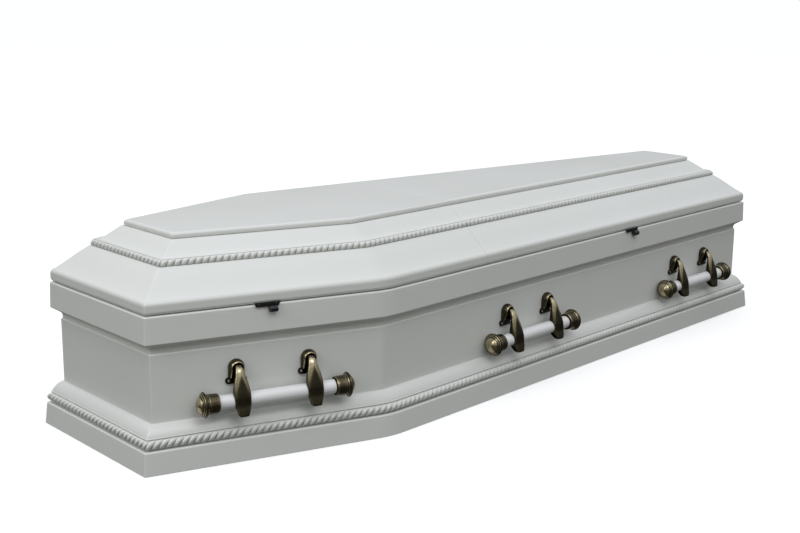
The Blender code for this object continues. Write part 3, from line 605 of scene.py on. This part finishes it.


# the rope pieces carry painted groove shade in the attribute that also carries the bronze's wear
addWood("plinthRope", [ropeShell(baseRope), sweep(baseRope["bed"])], "base_rope", ropeLacquerPaintedGrooveShade,
        baseRope["sharpAngle"])
for section in ("head", "foot"):
    addWood(f"lidRope_{section}", [ropeShell(lidRope, section)], f"lid_{section}_rope", ropeLacquerPaintedGrooveShade,
            lidRope["sharpAngle"])
print("ropes built")


# Handles. In a handle's own frame a point is (along the bar, out from the panel, up from the hinge axis). Their
# tables are in mm, and what is written with mm beside it is in metres.

handleSizes = {
    "pivotOut": 12.5 * mm, "spread": 156 * mm, "barOut": 28.2 * mm, "barDrop": 62.2 * mm, "barRadius": 15.0 * mm,
    "barLength": 249.4 * mm, "barSides": 64,
}
barCentre = (0.0, handleSizes["barOut"], -handleSizes["barDrop"])


def handleFrame(joint):
    # origin on the hinge axis, then the ways along the bar, out from the panel and up
    axis, up = -np.array(joint["axis"], dtype=float), np.array([0.0, 0.0, 1.0])
    return np.array(joint["pos_m"], dtype=float), axis, -np.cross(up, axis), up


def placed(points, where, shift=0.0):
    # local (along, out, up) to the row frame
    origin, along, outWay, up = where
    return (origin + (points[..., :1] + shift) * along + (points[..., 1:2] - handleSizes["pivotOut"]) * outWay
            + points[..., 2:3] * up)


def smoothTable(stations, values, at):
    # a smooth line through the values: cubic pieces with harmonic means for slopes, so that it never overshoots
    stations, values = np.array(stations, dtype=float), np.array(values, dtype=float)
    step = np.diff(stations)[:, None]
    run = np.diff(values, axis=0) / step
    both = run[1:] * run[:-1]
    inner = np.where(both > 0, 2 * both / np.where(both > 0, run[1:] + run[:-1], 1.0), 0.0)
    slopes = np.concatenate([run[:1], inner, run[-1:]])
    k = np.clip(np.searchsorted(stations, at, side="right") - 1, 0, len(stations) - 2)
    step = step[k]
    t = (at - stations[k])[:, None] / step
    return ((2 * t ** 3 - 3 * t ** 2 + 1) * values[k] + (t ** 3 - 2 * t ** 2 + t) * step * slopes[k]
            + (3 * t ** 2 - 2 * t ** 3) * values[k + 1] + (t ** 3 - t ** 2) * step * slopes[k + 1])


earShape = {
    # section of the hood's wall: distance from the arch's middle, and share of the hood's depth (mm, share)
    "wall": [(15.6, 0.03), (16.6, 0.12), (17.1, 0.28), (16.9, 0.46), (16.2, 0.62), (15.1, 0.78), (13.9, 0.90),
             (12.9, 0.97), (12.1, 1.0), (11.3, 0.985), (10.7, 0.93), (10.4, 0.80), (10.4, 0.40), (10.4, 0.10)],
    "depth": 16.5, "cheekDrop": 24.5, "cheekFoot": 8.0, "cheekTuck": 2.6, "cheekThin": 1.2,
    "archSteps": 24, "legSteps": 8, "wallSteps": 34, "seat": 0.3 * mm,
    "plateHalf": 15.4, "plateThickness": 3.1 * mm, "plateDrop": 33.0, "plateCorner": 5.0, "plateRound": 0.8 * mm,
    "lugSpread": 32.0, "lugRadius": 6.8, "lugDrop": 28.0, "lugThickness": 4.4 * mm, "lugRound": 1.4 * mm,
}


def hoodGrid(look):
    # an arch of radial sections: up one leg, over the hinge axis and down the other. The depth falls on the
    # legs, and near their feet the hood tucks in and thins. The wear is highest on the front edge, share ** 8
    legs = np.linspace(-look["cheekDrop"], 0, look["legSteps"] + 1)[:-1]
    turn = np.linspace(math.pi, 0, look["archSteps"] + 1)
    rayX = np.concatenate([np.full(len(legs), -1.0), np.cos(turn), np.full(len(legs), 1.0)])
    rayZ = np.concatenate([np.zeros(len(legs)), np.sin(turn), np.zeros(len(legs))])
    low = np.concatenate([legs, np.zeros(len(turn)), legs[::-1]])
    fall = np.clip(-low / look["cheekDrop"], 0, 1)
    tuck, thin = np.maximum(0, fall - 0.85) / 0.15, np.maximum(0, fall - 0.8) / 0.2
    depth = look["depth"] + (look["cheekFoot"] - look["depth"]) * fall - look["cheekTuck"] * tuck
    last = len(look["wall"]) - 1
    wall = smoothTable(np.arange(last + 1), look["wall"], np.linspace(0, last, look["wallSteps"]))
    radius, share = wall[:, 0][:, None], wall[:, 1][:, None]
    radius = radius - look["cheekThin"] * thin * (radius > 12)
    wear = np.where(radius > 11.5, 0.22 + 0.75 * share ** 8, 0.02)
    return np.stack([rayX * radius, share * depth, low + rayZ * radius], -1) * mm, wear


def slabGrid(line, near, far, edge):
    # a plate from out = near to out = far with an outline of (along, up) points; its front edge is rounded:
    # out = far - edge * (1 - sin t) where the outline has shrunk by edge * (1 - cos t)
    turns = np.linspace(0, math.pi / 2, 5)
    inward = inwardNormals(line)
    rows = [(near, 0.0), (far - edge - 0.2 * mm, 0.0)]
    rows += [(far - edge * (1 - math.sin(t)), edge * (1 - math.cos(t))) for t in turns]
    grid = [np.column_stack([(moved := line + inward * shrink)[:, 0], np.full(len(line), out), moved[:, 1]])
            for out, shrink in rows]
    return np.stack(grid)


def turnedGrid(profile, sides, centre, axis):
    # a profile of (radius, distance) turned round an axis: centre + radius (cos t, sin t) + distance along it
    turn = np.linspace(0, 2 * math.pi, sides, endpoint=False)
    radius, distance = profile[:, 0][:, None], profile[:, 1][:, None]
    axis = np.array(axis, dtype=float)
    first = np.cross(axis, (0.0, 0.0, 1.0)) if abs(axis[2]) < 0.9 else np.array([1.0, 0.0, 0.0])
    first = first / np.linalg.norm(first)
    second = np.cross(axis, first)
    around = np.cos(turn)[None, :, None] * first + np.sin(turn)[None, :, None] * second
    return np.array(centre) + radius[..., None] * around + distance[..., None] * axis


def buildEar(name, where, shift, node):
    # hood, back plate with a round head, and the bar of two screw lugs
    look = earShape
    hood, wear = hoodGrid(look)
    shells = [shell(placed(hood, where, shift), wrapRows=True, wear=wear)]
    half, drop, corner = look["plateHalf"], look["plateDrop"], look["plateCorner"]
    plate, _ = roundedLine([(half, half, half - 0.1, 0), (half, -drop, corner, 0), (-half, -drop, corner, 0),
                            (-half, half, half - 0.1, 0)], arcSteps=8)
    radius = look["lugRadius"]
    reach, top, foot = look["lugSpread"] / 2 + radius, -look["lugDrop"] + radius, -look["lugDrop"] - radius
    lugs, _ = roundedLine([(x, up, radius - 0.05, 0) for x, up in ((reach, top), (reach, foot), (-reach, foot),
                                                                  (-reach, top))], arcSteps=8)
    for line, part, wear in ((plate, "plate", 0.0), (lugs, "lug", 0.05)):
        grid = slabGrid(line, look["seat"], look[part + "Thickness"], look[part + "Round"])
        shells.append(shell(placed(grid, where, shift), wrapColumns=True, wear=wear))
    addPiece(name, shells, bronze, "root", [node])


screwShape = {"radius": 3.1, "dome": 1.7, "domeTurn": 0.78, "seat": 4.2, "recess": 1.1, "recessDepth": 0.9,
              "sides": 20}


def buildScrews(name, where, shift):
    # pan heads: a flattened dome, (radius cos t, seat + dome sin t), with a round driver recess
    s = screwShape
    turn = np.linspace(0, 1, 7) * math.pi / 2 * s["domeTurn"]
    dome = np.column_stack([s["radius"] * np.cos(turn), s["seat"] + s["dome"] * np.sin(turn)])
    rim = dome[-1, 1]
    floor = rim - s["recessDepth"]
    profile = np.concatenate([[(s["radius"], s["seat"] - 0.6)], dome, [(s["recess"], rim + 0.1),
                              (s["recess"] * 0.8, floor), (0.15, floor)]]) * mm
    shells = []
    for side in (-1, 1):
        centre = np.array([side * earShape["lugSpread"] / 2 * mm, 0.0, -earShape["lugDrop"] * mm])
        head = turnedGrid(profile, s["sides"], centre, (0, 1, 0))
        shells.append(shell(placed(head, where, shift), wrapColumns=True))
    addPiece(name, shells, nickel, "root")


armShape = {
    # down the arm: up, front out, edge out, half width, half width of the front facet, back out, back half (mm)
    "stations": [
        (7.4, 15.3, 14.4, 3.0, 0.0, 11.2, 2.8), (6.8, 17.4, 16.2, 4.4, 0.0, 9.2, 4.0),
        (5.4, 20.4, 18.4, 5.6, 0.0, 7.2, 5.2), (3.5, 23.6, 20.8, 6.5, 0.0, 5.8, 5.8),
        (0.5, 27.2, 23.4, 7.4, 0.0, 5.0, 6.0), (-3.0, 29.8, 25.2, 8.2, 0.0, 5.8, 6.0),
        (-6.0, 31.4, 26.6, 8.9, 0.0, 9.0, 6.2), (-7.4, 32.0, 27.2, 9.2, 0.1, 14.0, 6.8),
        (-8.4, 32.5, 27.5, 9.4, 0.2, 19.0, 7.6), (-10.5, 33.5, 28.1, 9.9, 0.5, 23.0, 8.8),
        (-14.0, 35.0, 29.2, 10.8, 1.3, 25.0, 9.8), (-20.0, 37.0, 31.2, 12.5, 3.5, 25.8, 11.2),
        (-28.0, 39.2, 33.8, 14.7, 6.5, 26.0, 13.2), (-38.0, 41.9, 37.0, 16.7, 10.4, 26.2, 15.2),
        (-46.0, 44.0, 39.6, 17.4, 13.7, 26.8, 16.0), (-54.0, 45.6, 41.2, 17.4, 15.8, 29.0, 16.4),
        (-62.0, 46.6, 42.3, 17.0, 16.0, 29.5, 16.0), (-70.0, 47.8, 43.6, 16.0, 15.2, 31.5, 15.0),
        (-78.0, 50.2, 46.2, 13.9, 13.2, 37.5, 12.8), (-84.0, 52.0, 48.6, 11.6, 11.0, 42.5, 10.6),
        (-88.5, 53.1, 50.2, 9.6, 9.0, 46.5, 8.8), (-90.2, 52.9, 50.8, 8.4, 7.8, 48.3, 7.8),
    ],
    "rows": 90, "facetBow": 0.9,
    # under the bar: the middle (out, up) of the strap that curls back from the chin, its half width and half
    # thickness in mm
    "strap": [(49.6, -88.6, 7.6, 2.2), (46.0, -90.8, 8.6, 1.7), (41.0, -90.6, 8.9, 1.5), (36.0, -88.4, 9.1, 1.4),
              (31.0, -84.6, 9.2, 1.3), (26.3, -80.2, 9.0, 1.1)],
    "strapSteps": 20, "ringGap": 0.3, "ringWall": 1.6, "ringHalf": 6.0, "ringSides": 40,
}


def armGrid(look):
    # level sections: a nearly flat facet, out = front - bow * (x / facet) ** 2, then flanks that fall to the
    # edge as t ** 1.5, bellied sides and a flat back. The wear is highest on the flanks and at the facet's top
    table = np.array(look["stations"])
    depths = -table[:, 0]
    at = np.sort(np.concatenate([np.linspace(depths[0], depths[-1], look["rows"]), depths]))
    at = at[np.concatenate([[True], np.diff(at) > 0.05])]
    up, front, edge, half, facet, back, backHalf = smoothTable(depths, table, at).T[:, :, None]
    s = np.linspace(-1, 1, 9)[None, :]
    t = np.linspace(0, 1, 9)[None, 1:]
    u = np.linspace(0, 1, 5)[None, 1:-1]
    bow = np.minimum(look["facetBow"], (front - edge) * 0.3) * np.minimum(1, facet / 3)
    faceX, faceOut = s * facet, front - bow * s ** 2
    flankX = facet + (half - facet) * np.sin(t * math.pi / 2)
    flankOut = front - bow - (front - bow - edge) * t ** 1.5
    belly = 0.6 * np.sin(u * math.pi)
    sideX, sideOut = half + (backHalf - half) * u + belly, edge + (back - edge) * u
    backX, backOut = s[:, ::-1] * backHalf, back + 0.0 * s
    out = np.concatenate([faceOut, flankOut, sideOut, backOut, sideOut[:, ::-1], flankOut[:, ::-1]], axis=1)
    x = np.concatenate([faceX, flankX, sideX, backX, -sideX[:, ::-1], -flankX[:, ::-1]], axis=1)
    grid = np.stack([x, out, np.broadcast_to(up, x.shape)], -1) * mm
    high = np.clip((up + 46) / 40, 0, 1)
    flankWear = (0.48 + 0.40 * high) * np.sin((1 - t) * math.pi / 2 + 0.35 * t) ** 0.5
    facetWear = 0.17 + 0.55 * high ** 4 + 0.25 * np.abs(s) ** 6 * np.ones_like(facet)
    sideWear = 0.05 + 0 * sideX
    wear = np.concatenate([facetWear, flankWear, sideWear, 0 * backX, sideWear, flankWear[:, ::-1]], axis=1)
    return grid, wear


def strapGrid(table, steps):
    # a flat band carried along a curve of (out, up) points: across = half * |cos t| ** 0.5, thick = sin t
    middle = smoothTable(np.arange(len(table)), table, np.linspace(0, len(table) - 1, steps))
    out, up, half, thick = middle.T
    run = np.gradient(middle[:, :2], axis=0)
    run = run / np.linalg.norm(run, axis=1)[:, None]
    turn = np.linspace(0, 2 * math.pi, steps, endpoint=False)
    x = half[:, None] * np.sign(np.cos(turn)) * np.abs(np.cos(turn)) ** 0.5
    lift = thick[:, None] * np.sin(turn)
    return np.stack([x, out[:, None] - run[:, 1:] * lift, up[:, None] + run[:, :1] * lift], -1) * mm


def buildArm(name, where, shift, node, body):
    # the leaf, the strap under the bar, and the ring that the bar passes through
    look = armShape
    leaf, wear = armGrid(look)
    strap = strapGrid(np.array(look["strap"]), look["strapSteps"])
    half, inner = look["ringHalf"], handleSizes["barRadius"] / mm + look["ringGap"]
    outer = inner + look["ringWall"]
    line, _ = roundedLine([(inner, -half, 0.3, 0), (outer, -half, 0.8, 0), (outer, half, 0.8, 0),
                           (inner, half, 0.3, 0)], arcSteps=3)
    ring = turnedGrid(line, look["ringSides"], barCentre, (1, 0, 0))
    shells = [shell(placed(leaf, where, shift), wrapColumns=True, wear=wear),
              shell(placed(strap, where, shift), wrapColumns=True, wear=0.04),
              shell(placed(ring, where, shift), wrapRows=True, wrapColumns=True, wear=0.08)]
    addPiece(name, shells, bronze, body, [node])


# End caps, turned: (distance from the inner face, radius) in mm, with a wear value for each
capShape = {
    "line": [
        (0.0, 15.3, 0.05), (0.0, 18.0, 0.1), (0.5, 19.2, 0.4), (1.4, 20.0, 0.8), (3.0, 20.4, 0.5),
        (8.0, 20.5, 0.35), (15.0, 20.7, 0.35), (20.0, 21.0, 0.45), (22.2, 21.2, 0.6), (22.8, 21.0, 0.1),
        (23.3, 20.8, 0.0),
        (23.9, 21.2, 0.05), (24.6, 22.4, 0.8), (25.4, 22.8, 0.8), (26.0, 22.6, 0.1), (26.5, 22.9, 0.05),
        (27.2, 24.4, 0.5), (28.2, 25.7, 0.25), (29.2, 26.4, 0.4), (30.2, 26.1, 0.4), (30.8, 25.2, 0.0),
        (31.2, 24.6, 0.0), (31.6, 24.4, 0.4), (32.4, 23.8, 0.9), (33.1, 22.6, 0.4), (33.4, 21.6, 0.0),
        (33.8, 21.3, 0.0), (34.3, 21.0, 0.5), (35.0, 20.2, 0.9), (35.6, 19.0, 0.3), (35.8, 18.2, 0.0),
        (36.2, 17.9, 0.0), (36.9, 17.4, 0.6), (38.0, 16.6, 0.8), (39.6, 14.9, 0.85), (41.4, 12.4, 0.85),
        (43.0, 9.5, 0.8), (44.4, 6.2, 0.75), (45.4, 3.2, 0.7), (45.8, 0.4, 0.7)],
    "sides": 56, "gap": 0.3 * mm,
}


def buildCap(name, where, side, node, body):
    # the cap's line turned round the bar's axis, starting just off the bar's end
    table = np.array(capShape["line"])
    profile = np.column_stack([table[:, 1], table[:, 0]]) * mm
    start = handleSizes["barLength"] / 2 + capShape["gap"]
    grid = turnedGrid(profile, capShape["sides"], (side * start, *barCentre[1:]), (side, 0, 0))
    addPiece(name, [shell(placed(grid, where), wrapColumns=True, wear=table[:, 2:3])], bronze, body,
             [node])


def buildBar(name, where, node, body):
    # a turned rod with softly rounded ends
    stations = np.array([-1, -0.997, -0.99, -0.98, 0.98, 0.99, 0.997, 1]) * handleSizes["barLength"] / 2
    radii = np.array([0.93, 0.98, 1, 1, 1, 1, 0.98, 0.93]) * handleSizes["barRadius"]
    grid = turnedGrid(np.column_stack([radii, stations]), handleSizes["barSides"], barCentre, (1, 0, 0))
    addPiece(name, [shell(placed(grid, where), wrapColumns=True)], gripLacquer, body, [node])


joints = {joint["child"]: joint for joint in frame["record"]["behaviour"]["joints"]}
for body, joint in joints.items():
    place = body.replace("handle_", "")
    where = handleFrame(joint)
    for letter, side in (("a", -1), ("b", 1)):
        shift = side * handleSizes["spread"] / 2
        buildEar(f"ear_{place}_{letter}_hood", where, shift, f"ear_{place}_{letter}")
        buildScrews(f"ear_{place}_{letter}_screws", where, shift)
        buildArm(f"leafArm_{place}_{letter}", where, shift, f"arm_{place}_{letter}", body)
        buildCap(f"ringedCap_{place}_{letter}", where, side, f"cap_{place}_{letter}", body)
    buildBar(f"gripBar_{place}", where, f"bar_{place}", body)
print("handles built")


# Catches: a black plate with slanted ends over the joint of box and lid, its screws, and a barrel knob

catchShape = {
    "bandInset": 18.6 * mm, "stations": {"head": 250 * mm, "foot": 917 * mm}, "bandTop": 313.2 * mm,
    "half": 28.5, "slant": 5.0, "low": -2.4, "high": 7.0, "seat": 0.3, "thickness": 3.0,
    "knobShift": 11.0, "knobHalf": 8.5, "knobRadius": 6.5, "knobDrop": 4.6, "knobSides": 28,
    "screws": (-19.0, 19.0), "screwUp": 2.2, "screwRadius": 2.6, "screwDome": 0.9, "screwSides": 18,
}


def catchFrame(place, flip):
    # origin on the band's face at its top edge, along the side towards the foot
    first, second = ((0, 1), (1, 2))[place == "foot"]
    before, here, after = outward[first - 1], outward[first], outward[second]
    start = corners[first] - (before + here) * catchShape["bandInset"] / (1 + before @ here)
    along = np.array([-here[1], here[0]])
    spot = start + along * catchShape["stations"][place]
    mirror = np.array([1.0, -1.0 if flip else 1.0])
    return (np.array([*(spot * mirror), catchShape["bandTop"]]), np.array([*(along * mirror), 0.0]),
            np.array([*(here * mirror), 0.0]), np.array([0.0, 0.0, 1.0]))


def buildCatch(place, sideName):
    # the plate, the knob as a turned barrel with a groove round its middle, and two domed screw heads
    origin, along, out, up = catchFrame(place, sideName == "far")
    if sideName == "far":
        along = -along

    def put(points):
        return origin + points[..., :1] * along + points[..., 1:2] * out + points[..., 2:3] * up

    c = catchShape
    half, low, high = c["half"], c["low"], c["high"]
    foot = half - c["slant"]
    line, _ = roundedLine([(-foot, low, 1.2, 0), (foot, low, 1.2, 0), (half, high, 1.0, 0),
                           (-half, high, 1.0, 0)], arcSteps=4)
    plate = slabGrid(line, c["seat"] * mm, (c["seat"] + c["thickness"]) * mm, 0.7 * mm)
    reach, radius = c["knobHalf"], c["knobRadius"]
    barrel = [(0.2, -reach), (radius - 0.8, -reach), (radius, -reach + 0.8), (radius, -0.9),
              (radius - 0.7, -0.5), (radius - 0.7, 0.5), (radius, 0.9), (radius, reach - 0.8),
              (radius - 0.8, reach), (0.2, reach)]
    centre = np.array([c["knobShift"], c["seat"] + radius, low - c["knobDrop"]]) * mm
    knob = turnedGrid(np.array(barrel) * mm, c["knobSides"], centre, (1, 0, 0))
    turn = np.linspace(0, 1, 6) * 1.35
    face = c["seat"] + c["thickness"]
    dome = np.column_stack([c["screwRadius"] * np.cos(turn), face + c["screwDome"] * np.sin(turn)])
    dome = np.concatenate([[(c["screwRadius"], face - 0.5)], dome]) * mm
    screws = [turnedGrid(dome, c["screwSides"], np.array([x, 0, c["screwUp"]]) * mm, (0, 1, 0))
              for x in c["screws"]]
    shells = [shell(put(grid), wrapColumns=True) for grid in (plate, knob, *screws)]
    addPiece(f"catchPlate_{sideName}_{place}", shells, enamel, "root",
             [f"catch_{sideName}_{place}"])


for sideName in ("near", "far"):
    for place in ("head", "foot"):
        buildCatch(place, sideName)
print("catches built")

floorBoard = frame["nodes"]["floor_board"]
floorBoard.data.materials.clear()
floorBoard.data.materials.append(lacquer)


# Floor, light and camera

studio = {
    "floorSize": 400.0, "floor": "#F4F4F2", "floorGlow": 0.30, "floorRoughness": 0.9, "floorSheen": 0.2,
    "bounce": "#54544F", "zenith": 1.08, "horizon": 0.26, "ground": 0.05,
    "zenithTint": (0.945, 0.985, 1.08, 1.0), "horizonTint": (1.0, 0.995, 0.96, 1.0),
}


def buildFloor():
    # a wide sheet of white paper, which glows a little so that it stays white round the coffin; the light that
    # it throws back on the coffin is that of a darker sheet
    half = studio["floorSize"] / 2
    mesh = bpy.data.meshes.new("paperFloor")
    edge = [(-half, -half, 0), (half, -half, 0), (half, half, 0), (-half, half, 0)]
    mesh.from_pydata(edge, [], [(0, 1, 2, 3)])
    floor = bpy.data.objects.new("paperFloor", mesh)
    bpy.context.scene.collection.objects.link(floor)
    material, tree, shader = newMaterial("matteWhitePaper", studio["floor"])
    shader.inputs["Base Color"].default_value = linearColour(studio["floor"])
    shader.inputs["Roughness"].default_value = studio["floorRoughness"]
    shader.inputs["Specular IOR Level"].default_value = studio["floorSheen"]
    shader.inputs["Emission Color"].default_value = (1, 1, 1, 1)
    shader.inputs["Emission Strength"].default_value = studio["floorGlow"]
    dim = addNode(tree, "ShaderNodeBsdfDiffuse", values={"Color": linearColour(studio["bounce"])})
    path = addNode(tree, "ShaderNodeLightPath")
    mix = addNode(tree, "ShaderNodeMixShader", links={0: (path, "Is Camera Ray"), 1: (dim, 0), 2: (shader, 0)})
    tree.links.new(mix.outputs[0], tree.nodes["Material Output"].inputs["Surface"])
    mesh.materials.append(material)


def buildSky():
    # an overcast dome: brightness rises with the height of the direction
    world = bpy.data.worlds.new("softDome")
    world.use_nodes = True
    tree = world.node_tree
    background = tree.nodes["Background"]
    place = addNode(tree, "ShaderNodeTexCoord")
    split = addNode(tree, "ShaderNodeSeparateXYZ", links={0: (place, "Generated")})
    above = addNode(tree, "ShaderNodeMapRange", values={"To Min": studio["horizon"], "To Max": studio["zenith"]},
                    links={"Value": (split, 2)})
    isUp = addNode(tree, "ShaderNodeMath", {"operation": "GREATER_THAN"}, {1: 0.0}, {0: (split, 2)})
    level = addNode(tree, "ShaderNodeMix", {"data_type": "FLOAT"}, {2: studio["ground"]},
                    {0: (isUp, 0), 3: (above, 0)})
    tint = addNode(tree, "ShaderNodeMix", {"data_type": "RGBA"},
                   {6: studio["horizonTint"], 7: studio["zenithTint"]}, {0: (split, 2)})
    tree.links.new(tint.outputs[2], background.inputs["Color"])
    tree.links.new(level.outputs[0], background.inputs["Strength"])
    # the background seen past the floor is plain white
    backdrop = addNode(tree, "ShaderNodeBackground", values={"Color": (1.0, 1.0, 1.0, 1.0), "Strength": 1.0})
    path = addNode(tree, "ShaderNodeLightPath")
    mix = addNode(tree, "ShaderNodeMixShader",
                  links={0: (path, "Is Camera Ray"), 1: (background, 0), 2: (backdrop, 0)})
    tree.links.new(mix.outputs[0], tree.nodes["World Output"].inputs["Surface"])
    bpy.context.scene.world = world


lamps = {
    "softboxFront": {"at": (-1.6, -3.4, 4.2), "aim": (0.0, 0.0, 0.3), "size": (3.0, 2.0), "power": 50.0},
    "softboxHead": {"at": (-4.2, -0.4, 2.6), "aim": (-0.4, 0.0, 0.3), "size": (1.6, 1.6), "power": 30.0},
}


def standing(at, right, up, forward):
    # the transform of a lamp or camera, which look along -Z with +Y up
    return Matrix.Translation(at) @ Matrix((right, up, -forward)).transposed().to_4x4()


def buildLamps():
    for name, lamp in lamps.items():
        light = bpy.data.lights.new(name, "AREA")
        light.shape = "RECTANGLE"
        light.size, light.size_y = lamp["size"]
        light.energy = lamp["power"]
        forward = (Vector(lamp["aim"]) - Vector(lamp["at"])).normalized()
        right = forward.cross(Vector((0, 0, 1))).normalized()
        holder = bpy.data.objects.new(name, light)
        holder.matrix_world = standing(lamp["at"], right, right.cross(forward), forward)
        bpy.context.scene.collection.objects.link(holder)


view = {"at": (-2.19988, -2.24082, 0.95291), "heading": 0.83652, "down": 0.22589, "roll": 0.00858,
        "focal": 1265.742, "imageWidth": 800, "sensor": 36.0, "far": 1000.0}


def buildCamera():
    # forward = (cos heading cos down, sin heading cos down, -sin down), then a roll about it. The focal length
    # is in pixels of a picture 800 wide
    heading, down, roll = view["heading"], view["down"], view["roll"]
    forward = Vector((math.cos(heading) * math.cos(down), math.sin(heading) * math.cos(down), -math.sin(down)))
    right = Vector((math.sin(heading), -math.cos(heading), 0.0))
    up = right.cross(forward)
    turnedRight = right * math.cos(roll) + up * math.sin(roll)
    turnedUp = up * math.cos(roll) - right * math.sin(roll)
    data = bpy.data.cameras.new("photoCamera")
    data.sensor_width = view["sensor"]
    data.lens = view["focal"] * view["sensor"] / view["imageWidth"]
    data.clip_end = view["far"]
    camera = bpy.data.objects.new("photoCamera", data)
    camera.matrix_world = standing(view["at"], turnedRight, turnedUp, forward)
    bpy.context.scene.collection.objects.link(camera)
    bpy.context.scene.camera = camera


buildFloor()
buildSky()
buildLamps()
buildCamera()
bpy.context.scene.view_settings.view_transform = "Standard"
print("studio ready")
